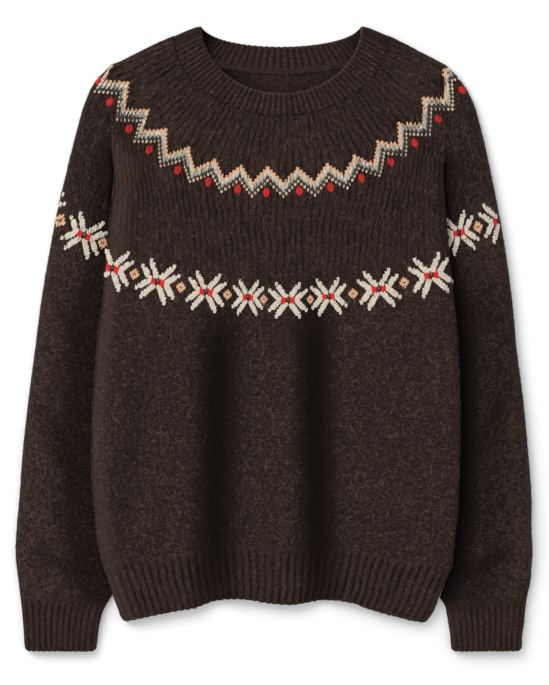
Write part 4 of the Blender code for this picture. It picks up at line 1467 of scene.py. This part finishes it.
def neck_shell(settings):
    """The ring's right side is up at the front and down on the floor at the back."""
    angles, front_ribs, back_ribs = neck_round()
    near_seam, near_rim = NECK_SEAM_STEPS / NECK_WIDTH, 1.0 - RIM_STEPS / NECK_WIDTH
    shares = np.concatenate((near_seam, NECK_ROWS, near_rim))
    outer = neck_side(angles, front_ribs, shares, False, settings)
    inner = neck_side(angles, back_ribs, shares, True, settings)
    return make_shell("neckband_knit", outer, inner, ring=True)


LOBE_SIDES = 4
LOBE_STATIONS = 5
SUNK = 0.25  # height over the cloth at which the loops' sides end
LOOP_UNEVEN = 0.05
LEAST_UP = 0.25  # loops are left out where the cloth is steeper than this
SEARCH_TOP = 100.0
END_SHARE = 0.3  # share of the loops that have a loose end of yarn
END_LENGTH = (1.6, 4.0)
END_CURL = 0.9
END_HALF = 0.09
END_STATIONS = 4


def lobe_shape():
    """One leg of a knitted loop, in stitch widths, row heights and yarn height."""
    points = []
    for t in np.linspace(0.0, 1.0, LOBE_STATIONS):
        x = 0.15 + 0.19 * t
        y = -0.66 + 1.3 * t
        thick = 0.19 + 0.12 * np.sin(np.pi * (0.1 + 0.8 * t))
        for angle in np.linspace(0.0, np.pi, LOBE_SIDES):
            crest = np.sin(angle) ** 0.8 * np.sin(np.pi * (0.14 + 0.72 * t)) ** 0.6 - 0.1
            points.append((x + thick * np.cos(angle), y - 0.15 * thick * np.cos(angle), crest))
    return np.array(points)


def yarn_faces(stations, sides=2):
    """Quads of a strand of yarn that has a row of points at each of its stations."""
    return grid_faces(stations, sides, False, 0)[:, (0, 3, 2, 1)]


class Stitches:
    """Knitted loops laid on a piece, each in its yarn, gathered into one mesh."""

    def __init__(self, name, under, end_share=END_SHARE):
        self.name = name
        self.tree = search_tree(under)
        self.lobe = lobe_shape()
        self.quads = yarn_faces(LOBE_STATIONS, LOBE_SIDES)
        self.points = []
        self.faces = []
        self.yarns = []
        self.rng = np.random.default_rng(len(name))
        self.end_share = end_share

    def add(self, place, up, width, height, yarn, raised=0.75):
        """A loop centred at a place in plan, opening towards up."""
        above = Vector((place[0], place[1], SEARCH_TOP))
        foot, normal = self.tree.ray_cast(above, Vector((0.0, 0.0, -1.0)))[:2]
        if foot is None or normal.z < LEAST_UP:
            return
        foot, normal = np.array(foot), np.array(normal)
        along = np.array((up[0], up[1], 0.0))
        along = along - normal * (along @ normal)
        along /= np.linalg.norm(along)
        side = np.cross(along, normal)
        jitter = self.rng.normal(0.0, LOOP_UNEVEN, 3)
        for way in (-1.0, 1.0):
            x = self.lobe[:, 0] * way * width * (1.0 + jitter[0])
            y = self.lobe[:, 1] * height * (1.0 + jitter[1])
            z = SUNK + self.lobe[:, 2] * raised * (1.0 + jitter[2])
            points = foot + np.outer(x, side) + np.outer(y, along) + np.outer(z, normal)
            self.gather(points, self.quads if way > 0 else self.quads[:, ::-1], yarn)
        if self.rng.random() < self.end_share:
            self.loose_end(foot + normal * raised, normal, yarn)

    def gather(self, points, faces, yarn):
        self.faces.extend((faces + len(self.points)).tolist())
        self.yarns.extend([yarn] * len(faces))
        self.points.extend(points)

    def loose_end(self, foot, normal, yarn):
        """A short loose end of the yarn, curving away from its loop."""
        way = self.rng.normal(size=3)
        way -= normal * (way @ normal)
        way /= np.linalg.norm(way)
        side = np.cross(normal, way)
        length = self.rng.uniform(*END_LENGTH)
        curl = self.rng.normal(0.0, END_CURL)
        points = []
        for t in np.linspace(0.0, 1.0, END_STATIONS):
            spine = foot + length * (t * way + curl * 0.5 * t * t * side) + normal * (0.25 * t)
            half = END_HALF * (1.0 - 0.6 * t)
            points.extend((spine - side * half, spine + side * half))
        self.gather(points, yarn_faces(END_STATIONS), yarn)

    def chart(self, marks, centre, up, width, height):
        """Loops for a motif's marks, given across and up in stitches."""
        side = np.array((up[1], -up[0]))
        for mark, x, y in marks:
            yarn, wide, tall, raised = MARKS[mark]
            place = centre + x * width * side + y * height * up
            self.add(place, up, width * wide, height * tall, yarn, raised)

    def make(self, materials):
        names = list(materials)
        mesh = bpy.data.meshes.new(self.name)
        mesh.from_pydata(np.array(self.points) * MM, [], self.faces)
        for material in materials.values():
            mesh.materials.append(material)
        mesh.polygons.foreach_set("material_index", [names.index(yarn) for yarn in self.yarns])
        mesh.polygons.foreach_set("use_smooth", np.ones(len(self.faces), bool))
        return add_object(self.name, mesh)


def search_tree(name):
    """Search tree of a piece's mesh in millimetres, to lay finer things on it."""
    mesh = bpy.data.objects[name].data
    faces = [polygon.vertices[:] for polygon in mesh.polygons]
    return BVHTree.FromPolygons(points_of(mesh).tolist(), faces)


def star_marks():
    """Eight petals, each a slanting chain of upright loops, round a red middle."""
    marks = list(STAR_MIDDLE)
    for (first_x, first_y, last_x, last_y, count), tip in zip(PETALS, PETAL_TIPS):
        across_chain = np.linspace(first_x, last_x, count)
        up_chain = np.linspace(first_y, last_y, count)
        chain = [("W", x, y) for x, y in zip(across_chain, up_chain)]
        for mark, x, y in (*chain, ("t", *tip)):
            marks += [(mark, x * a, y * b) for a in (-1, 1) for b in (-1, 1)]
    return marks


CHARTS = {"star": star_marks(), "speck": SPECK}


def band_points(at):
    """Places on the zigzag's curve at distances along it from its middle, and its normals."""
    x = np.linspace(BAND["centre"] - BAND_REACH, BAND["centre"] + BAND_REACH, BAND_POINTS)
    q = np.clip(np.abs(x - BAND["centre"]) / BAND["half"], 0.0, 1.35)
    y = BAND["top"] - BAND["drop"] * (1.0 - q ** BAND["swell"])
    curve = np.column_stack((x, y))
    along = lengths_along(curve)
    along -= np.interp(BAND["centre"], x, along)
    run = np.gradient(curve, axis=0)
    run /= np.hypot(*run.T)[:, None]
    up = np.column_stack((-run[:, 1], run[:, 0]))
    place = np.column_stack([np.interp(at, along, curve[:, k]) for k in (0, 1)])
    way = np.column_stack([np.interp(at, along, up[:, k]) for k in (0, 1)])
    return place, way


def leaning(at):
    """The way up of the loops on the curve, leaning outwards towards both ends."""
    place, up = band_points(at)
    along = at / BAND["reach"]
    lean = np.radians(BAND["lean"]) * along * np.abs(along)
    side = np.column_stack((up[:, 1], -up[:, 0]))
    return place, up, up * np.cos(lean)[:, None] + side * np.sin(lean)[:, None]


def zigzag(pieces):
    """The zigzag band with its dotted line, and the buds under its peaks."""
    turns = np.array(ZIGZAG_TURNS, float)
    steps = np.rint(np.hypot(*np.diff(turns, axis=0).T) / ZIGZAG_STEP).astype(int)
    turn = np.concatenate([k + np.arange(step) / step for k, step in enumerate(steps)])
    at = np.interp(turn, np.arange(len(turns)), turns[:, 0])
    out = np.interp(turn, np.arange(len(turns)), turns[:, 1])
    place, normal, up = leaning(at)
    width = np.gradient(at)
    width = np.clip(np.convolve(width, np.ones(5) / 5.0, "same"), *ZIGZAG_STITCH)
    for number, (yarn, size, raised) in enumerate(ZIGZAG_ROWS):
        for k in range(1, len(turn)):
            centre = place[k] + out[k] * normal[k] - number * ZIGZAG_ROW * up[k]
            owner = pieces[owner_of(centre)]
            owner.add(centre, up[k], width[k] * size, ZIGZAG_ROW * size, yarn, raised)
    spots = np.array(BUDS, float)
    place, normal, up = leaning(spots[:, 0])
    for centre, way in zip(place + spots[:, 1:] * normal, up):
        for i, count in enumerate(BUD_ROWS):
            for j in range(count):
                x = (j - (count - 1) / 2.0) * BUD_STITCH[0]
                y = ((len(BUD_ROWS) - 1) / 2.0 - i) * BUD_STITCH[1]
                spot = centre + x * np.array((way[1], -way[0])) + y * way
                pieces[owner_of(spot)].add(spot, way, *BUD_STITCH, "red")


def owner_of(place):
    """The piece that a place of the yoke lies on: the front or the sleeve beyond an armhole."""
    left, right = SLEEVE_SECTIONS["sleeve_left"][0], SLEEVE_SECTIONS["sleeve_right"][0]
    if place[0] < np.interp(place[1], (left[3], left[1]), (left[2], left[0])):
        return "sleeve_left"
    if place[0] > np.interp(place[1], (right[3], right[1]), (right[2], right[0])):
        return "sleeve_right"
    return "front"


# Loose wool: usual length, half width, curl in radians, lift off the cloth, and how its tones
# are spread between dark and light
STRANDS = {
    "curls": dict(length=4.6, half=0.3, curl=2.3, lift=0.3, tones=(1.2, 2.2)),
    "hairs": dict(length=5.0, half=0.08, curl=1.4, lift=0.6, tones=(1.5, 1.5)),
}
STRAND_STATIONS = 5
STRAND_SPREAD = 0.35  # spread of the lengths
STRAND_CLEAR = 0.15  # least height over the cloth
LEAST_CURL = 0.01
LEAST_HEIGHT = 0.1  # no strand goes lower over the floor than this


def strands(name, under, kind, count, seed):
    """Loose wool over the upper face of a piece, as ribbons that follow the wales in the yoke."""
    look = STRANDS[kind]
    rng = np.random.default_rng(seed)
    obj = bpy.data.objects[under]
    mesh = obj.data
    points = points_of(mesh)
    stitch = np.empty(len(points) * 3)
    mesh.attributes["stitch"].data.foreach_get("vector", stitch)
    shade = np.empty(len(points))
    mesh.attributes["shade"].data.foreach_get("value", shade)
    quads = np.array([mesh.polygons[k].vertices[:] for k in range(obj["face_quads"])])
    a, b, c, d = (points[quads[:, k]] for k in range(4))
    cross = np.cross(c - a, d - b)
    area = np.linalg.norm(cross, axis=1) / 2.0
    normal = cross / np.maximum(2.0 * area, 1e-9)[:, None]
    lost = shade[quads].mean(axis=1)
    clear = stitch.reshape(-1, 3)[:, 2][quads].mean(axis=1)
    weight = np.where(normal[:, 2] > -0.1, area, 0.0) * (1.0 - lost) ** 1.5
    weight = weight * np.interp(clear, (PLAIN_CLEAR, 0.7), (1.0, 0.65))
    pick = rng.choice(len(quads), count, p=weight / weight.sum())
    a, b, c, d, up, lost, clear = (values[pick] for values in (a, b, c, d, normal, lost, clear))
    s, t = rng.random((2, count, 1))
    foot = (1 - s) * (1 - t) * a + s * (1 - t) * b + s * t * c + (1 - s) * t * d
    wale = b - a
    wale -= up * (wale * up).sum(axis=1)[:, None]
    wale /= np.maximum(np.linalg.norm(wale, axis=1), 1e-9)[:, None]
    turn = rng.normal(0.0, np.interp(clear, (PLAIN_CLEAR, 0.6), (1.6, 0.5)), count)[:, None]
    along = wale * np.cos(turn) + np.cross(up, wale) * np.sin(turn)
    side = np.cross(up, along)
    size = look["length"] * rng.lognormal(0.0, STRAND_SPREAD, count)[:, None]
    curl = rng.normal(0.0, look["curl"], count)[:, None]
    curl = np.where(np.abs(curl) < LEAST_CURL, LEAST_CURL, curl)
    lift = rng.gamma(2.0, look["lift"] / 2.0, count)[:, None]
    half = look["half"] * rng.uniform(0.7, 1.3, count)[:, None]
    rows = []
    for k in np.linspace(-0.5, 0.5, STRAND_STATIONS):
        bend = curl * k
        place = foot + size * np.sin(bend) / curl * along
        place = place + size * (1.0 - np.cos(bend)) / curl * side
        place = place + up * (STRAND_CLEAR + lift * (1.0 - (2.0 * k) ** 2))
        heading = np.cos(bend) * side - np.sin(bend) * along
        thin = half * (1.0 - 0.6 * abs(2.0 * k) ** 2)
        rows.append((place - heading * thin, place + heading * thin))
    places = np.array(rows).transpose(2, 0, 1, 3).reshape(-1, 3)
    places[:, 2] = np.maximum(places[:, 2], LEAST_HEIGHT)
    ends = 2 * STRAND_STATIONS
    faces = np.arange(count)[:, None, None] * ends + yarn_faces(STRAND_STATIONS)[None]
    loose = bpy.data.meshes.new(name)
    loose.from_pydata(places * MM, [], faces.reshape(-1, 4).tolist())
    loose.polygons.foreach_set("use_smooth", np.ones(len(loose.polygons), bool))
    store(loose, "tone", np.repeat(rng.beta(*look["tones"], count), ends))
    store(loose, "shade", np.repeat(lost, ends))
    return add_object(name, loose)


LINKING_LOOPS = 62
LINKING_ENDS = (0.2, 0.83)  # where the row shows, in half turns
LINKING_DROP = 1.2  # how far it runs under the seam
LINKING_WANDER = 0.5
LINKING_SHARE = 0.8  # share of its loops that can be seen
LINKING_STITCH = (2.2, 2.8)


def linking_chain(materials):
    """The uneven row of linked loops inside the back neck, under the neckband's seam."""
    piece = Stitches("back_neck_linking", "back_knit", end_share=0.12)
    ring = NECK_SEAM
    angles = np.linspace(*(np.pi * share for share in LINKING_ENDS), LINKING_LOOPS)
    x = NECK_CENTRE - ring["half"] * np.cos(angles)
    y = ring["end"] - (ring["back"] + LINKING_DROP) * np.sin(angles)
    curve = np.column_stack((x, y))
    run = np.gradient(curve, axis=0)
    run /= np.hypot(*run.T)[:, None]
    for place, way in zip(curve, run):
        place = place + piece.rng.normal(0.0, LINKING_WANDER, 2)
        if piece.rng.random() < LINKING_SHARE:
            piece.add(place, way, *LINKING_STITCH, "linking", raised=0.8)
    return piece.make(materials)


def colour_setting(name, description, default):
    """A setting for the colour of a wool, a yarn or the floor."""
    return FloatVectorProperty(
        name=name, description=description, default=default, subtype="COLOR", size=3
    )


class JumperSettings(PropertyGroup):
    wool: colour_setting("Wool", "Ground colour of the knitted wool", (0.034, 0.0188, 0.0152))
    heather: colour_setting(
        "Heather", "Colour of the lighter fibres in the wool", (0.085, 0.052, 0.04)
    )
    curl_light: colour_setting(
        "Curls", "Colour of the lightest brushed curls", (0.118, 0.073, 0.056)
    )
    hair_light: colour_setting("Hairs", "Colour of the lightest loose hairs", (0.13, 0.088, 0.068))
    nap: colour_setting(
        "Nap", "Tint of the soft light that the brushed nap catches", (0.5, 0.38, 0.32)
    )
    # The colour of the painted highlight on the body's left fold, and of wear from rubbing with a
    # painted highlight on free rims.
    highlighted_and_rubbed: colour_setting(
        "Rubbed edge", "Colour of the wool where an edge or a fold is rubbed", (0.11, 0.066, 0.052)
    )
    sheen: FloatProperty(
        name="Sheen", description="How much light the nap catches", default=0.03, min=0.0, max=1.0
    )
    cream: colour_setting("Cream", "Cream yarn", (0.61, 0.54, 0.445))
    peach: colour_setting("Peach", "Peach yarn", (0.68, 0.395, 0.23))
    slate: colour_setting("Slate", "Dark grey yarn", (0.048, 0.05, 0.046))
    red: colour_setting("Red", "Red yarn", (0.6, 0.028, 0.024))
    madder: colour_setting("Madder", "Dull red yarn at the middle of a star", (0.06, 0.014, 0.012))
    rose: colour_setting("Rose", "Pink yarn of a star's centre", (0.32, 0.12, 0.1))
    dot: colour_setting("Dots", "Dull peach yarn of the dotted line", (0.66, 0.47, 0.33))
    mist: colour_setting("Mist", "Light grey yarn", (0.4, 0.39, 0.335))
    linking: colour_setting("Linking", "Dark thread inside the back neck", (0.012, 0.009, 0.008))
    ridge_height: FloatProperty(
        name="Ridge height", description="Relief of the yoke's ridges in millimetres", default=1.3
    )
    rib_height: FloatProperty(
        name="Rib height", description="Relief of the ribbing in millimetres", default=1.5
    )
    curls: IntProperty(
        name="Curls", description="Brushed curls on the front panel", default=17000, min=0
    )
    hairs: IntProperty(
        name="Hairs", description="Fine loose hairs on the front panel", default=7000, min=0
    )


class StageSettings(PropertyGroup):
    key_power: FloatProperty(
        name="Key light", description="Power of the large light", default=34.0, unit="POWER"
    )
    sky: FloatProperty(name="Fill", description="Strength of the even fill light", default=0.85)
    floor: colour_setting("Floor", "Colour of the floor", (0.93, 0.93, 0.93))
    camera_height: FloatProperty(
        name="Camera height", description="Height of the camera", default=2.4, unit="LENGTH"
    )


# Finishes of the knitted wool: how light it is, and how far its loops stand out in the bump
# The ribbed wools are lighter to make up for the painted shade in their grooves.
KNITS = {
    "plain_knit": (1.0, 0.5),
    "inside_knit": (1.12, 0.3),
    "rib_knit": (1.48, 0.7),
    "neck_knit": (1.58, 0.7),
}
YARNS = ("peach", "cream", "slate", "red", "madder", "rose", "dot", "mist")


def wool(name):
    found = bpy.data.materials.get(name)
    return found or knit_material(name, *KNITS[name], bpy.context.scene.jumper)


def yarn(name):
    return yarn_material(name + "_yarn", tuple(getattr(bpy.context.scene.jumper, name)))


class JUMPER_OT_panels(Operator):
    """Knit the front panel with its yoke and the back panel"""

    bl_idname = "jumper.panels"
    bl_label = "Panels"

    def execute(self, context):
        front = front_shell(context.scene.jumper)
        dress(front, ("front_yoke", "front"), wool("plain_knit"))
        dress(back_shell(), ("back",), wool("inside_knit"))
        return {"FINISHED"}


class JUMPER_OT_sleeves(Operator):
    """Knit both sleeves as tubes"""

    bl_idname = "jumper.sleeves"
    bl_label = "Sleeves"

    def execute(self, context):
        for name in ("sleeve_left", "sleeve_right"):
            dress(sleeve_shell(name), ("upper_" + name, name), wool("plain_knit"))
        return {"FINISHED"}


class JUMPER_OT_ribs(Operator):
    """Knit the ribbed neckband, cuffs and hem"""

    bl_idname = "jumper.ribs"
    bl_label = "Ribs"

    def execute(self, context):
        settings = context.scene.jumper
        dress(neck_shell(settings), ("neckband",), wool("neck_knit"))
        dress(hem_shell(False, settings), ("hem_rib_front",), wool("rib_knit"))
        dress(hem_shell(True, settings), ("hem_rib_back",), wool("rib_knit"))
        for name in ("cuff_left", "cuff_right"):
            dress(cuff_shell(name, settings), (name,), wool("rib_knit"))
        return {"FINISHED"}


class JUMPER_OT_colourwork(Operator):
    """Knit the yoke's zigzag, its buds and the band of stars"""

    bl_idname = "jumper.colourwork"
    bl_label = "Colourwork"

    def execute(self, context):
        materials = {name: yarn(name) for name in YARNS}
        pieces = {
            name: Stitches(name + "_colourwork", name + "_knit")
            for name in ("front", "sleeve_left", "sleeve_right")
        }
        zigzag(pieces)
        for kind, owner, x, y, tilt, width, height in MOTIFS:
            tilt = np.radians(tilt)
            up = np.array((-np.sin(tilt), np.cos(tilt)))
            pieces[owner].chart(CHARTS[kind], np.array((x, y)), up, width, height)
        for name, piece in pieces.items():
            lay(piece.make(materials))
        return {"FINISHED"}


class JUMPER_OT_linking(Operator):
    """Link the neckband to the back neck"""

    bl_idname = "jumper.linking"
    bl_label = "Linking"

    def execute(self, context):
        lay(linking_chain({"linking": yarn("linking")}))
        return {"FINISHED"}


# Pieces that carry loose wool: share of the front's curls, share of its hairs
NAPPED = {
    "front": (1.0, 1.0),
    "sleeve_left": (0.4, 0.4),
    "sleeve_right": (0.4, 0.4),
    "hem_rib_front": (0.06, 0.12),
    "cuff_left": (0.02, 0.05),
    "cuff_right": (0.02, 0.05),
    "neckband": (0.012, 0.06),
}
NAP_SEED = 40
FIBRE_DARK = 0.9  # the darkest fibres, in shares of the wool's ground colour


class JUMPER_OT_nap(Operator):
    """Raise brushed curls and loose hairs over the wool"""

    bl_idname = "jumper.nap"
    bl_label = "Nap"

    def execute(self, context):
        settings = context.scene.jumper
        dark = [c * FIBRE_DARK for c in settings.wool]
        curls = fibre_material("brushed_curls", dark, settings.curl_light)
        hairs = fibre_material("loose_hairs", dark, settings.hair_light)
        looks = (("curls", curls, settings.curls), ("hairs", hairs, settings.hairs))
        for seed, (name, shares) in enumerate(NAPPED.items(), NAP_SEED):
            for (kind, material, count), share in zip(looks, shares):
                made = strands(f"{name}_{kind}", name + "_knit", kind, int(count * share), seed)
                made.data.materials.append(material)
                lay(made)
        return {"FINISHED"}


# Cut of each piece, all round on a tube: piece, width, length, area in square metres, lies on
CUTS = (
    ("back", 0.42, 0.575, 0.2, ("floor",)),
    ("front", 0.42, 0.575, 0.2, ("back_knit", "sleeve_left_knit", "sleeve_right_knit")),
    ("sleeve_left", 0.235, 0.6, 0.118, ("floor",)),
    ("sleeve_right", 0.235, 0.6, 0.118, ("floor",)),
    ("neckband", 0.62, 0.032, None, ("back_knit",)),
    ("hem_rib_front", 0.4, 0.062, None, ("hem_rib_back_knit",)),
    ("hem_rib_back", 0.4, 0.062, None, ("floor",)),
    ("cuff_left", 0.19, 0.06, None, ("floor",)),
    ("cuff_right", 0.19, 0.06, None, ("floor",)),
)


class JUMPER_OT_cuts(Operator):
    """Gather, for each piece of cloth in the table of cuts, the yarn and loose wool that lie on it
    """

    bl_idname = "jumper.cuts"
    bl_label = "Cuts"

    def execute(self, context):
        for name, width, length, area, under in CUTS:
            on_it = [
                bpy.data.objects[name + end]
                for end in ("_colourwork", "_curls", "_hairs")
                if name + end in bpy.data.objects
            ]
            if name == "back":
                on_it.append(bpy.data.objects["back_neck_linking"])
        return {"FINISHED"}


# The camera looks straight down: middle and height of what it sees, at the cloth's mean height
VIEW_CENTRE = (0.54, -5.4)
VIEW_LENGTH = 739.8
CLOTH_MIDDLE = 12.0
# The floor and the large light, in metres
FLOOR_SIZE = 8.0
FLOOR_DROP = 0.0003
KEY_PLACE = (-1.3, 1.15, 1.75)
KEY_SIZE = 1.5


class JUMPER_OT_stage(Operator):
    """Set the floor, the lights and the camera"""

    bl_idname = "jumper.stage"
    bl_label = "Stage"

    def execute(self, context):
        stage = context.scene.jumper_stage
        scene = context.scene
        bpy.ops.mesh.primitive_plane_add(size=FLOOR_SIZE, location=(0.0, 0.0, -FLOOR_DROP))
        floor = context.object
        floor.name = "floor"
        floor.data.materials.append(floor_material(tuple(stage.floor)))
        key = bpy.data.lights.new("key", "AREA")
        key.shape = "DISK"
        key.size = KEY_SIZE
        key.energy = stage.key_power
        holder = bpy.data.objects.new("key", key)
        holder.location = KEY_PLACE
        holder.rotation_euler = (-Vector(KEY_PLACE)).to_track_quat("-Z", "Y").to_euler()
        scene.collection.objects.link(holder)
        world = bpy.data.worlds.new("studio")
        world.use_nodes = True
        sky = world.node_tree.nodes["Background"]
        sky.inputs["Color"].default_value = (1.0, 1.0, 1.0, 1.0)
        sky.inputs["Strength"].default_value = stage.sky
        scene.world = world
        scene.view_settings.view_transform = "Standard"
        lens = bpy.data.cameras.new("camera")
        lens.lens = lens.sensor_width * (stage.camera_height / MM - CLOTH_MIDDLE) / VIEW_LENGTH
        camera = bpy.data.objects.new("camera", lens)
        camera.location = (VIEW_CENTRE[0] * MM, VIEW_CENTRE[1] * MM, stage.camera_height)
        scene.collection.objects.link(camera)
        scene.camera = camera
        return {"FINISHED"}


OPERATORS = (
    JUMPER_OT_stage,
    JUMPER_OT_panels,
    JUMPER_OT_sleeves,
    JUMPER_OT_ribs,
    JUMPER_OT_colourwork,
    JUMPER_OT_linking,
    JUMPER_OT_nap,
    JUMPER_OT_cuts,
)


class JUMPER_PT_pieces(Panel):
    bl_label = "Jumper"
    bl_idname = "JUMPER_PT_pieces"
    bl_space_type = "VIEW_3D"
    bl_region_type = "UI"
    bl_category = "Jumper"

    def draw(self, context):
        for operator in OPERATORS:
            self.layout.operator(operator.bl_idname)


CLASSES = (JumperSettings, StageSettings, *OPERATORS, JUMPER_PT_pieces)


def register():
    for cls in CLASSES:
        bpy.utils.register_class(cls)
    bpy.types.Scene.jumper = PointerProperty(type=JumperSettings)
    bpy.types.Scene.jumper_stage = PointerProperty(type=StageSettings)


def unregister():
    del bpy.types.Scene.jumper_stage
    del bpy.types.Scene.jumper
    for cls in reversed(CLASSES):
        bpy.utils.unregister_class(cls)


def main():
    register()
    for operator in OPERATORS:
        group, name = operator.bl_idname.split(".")
        getattr(getattr(bpy.ops, group), name)()


if __name__ == "__main__":
    main()
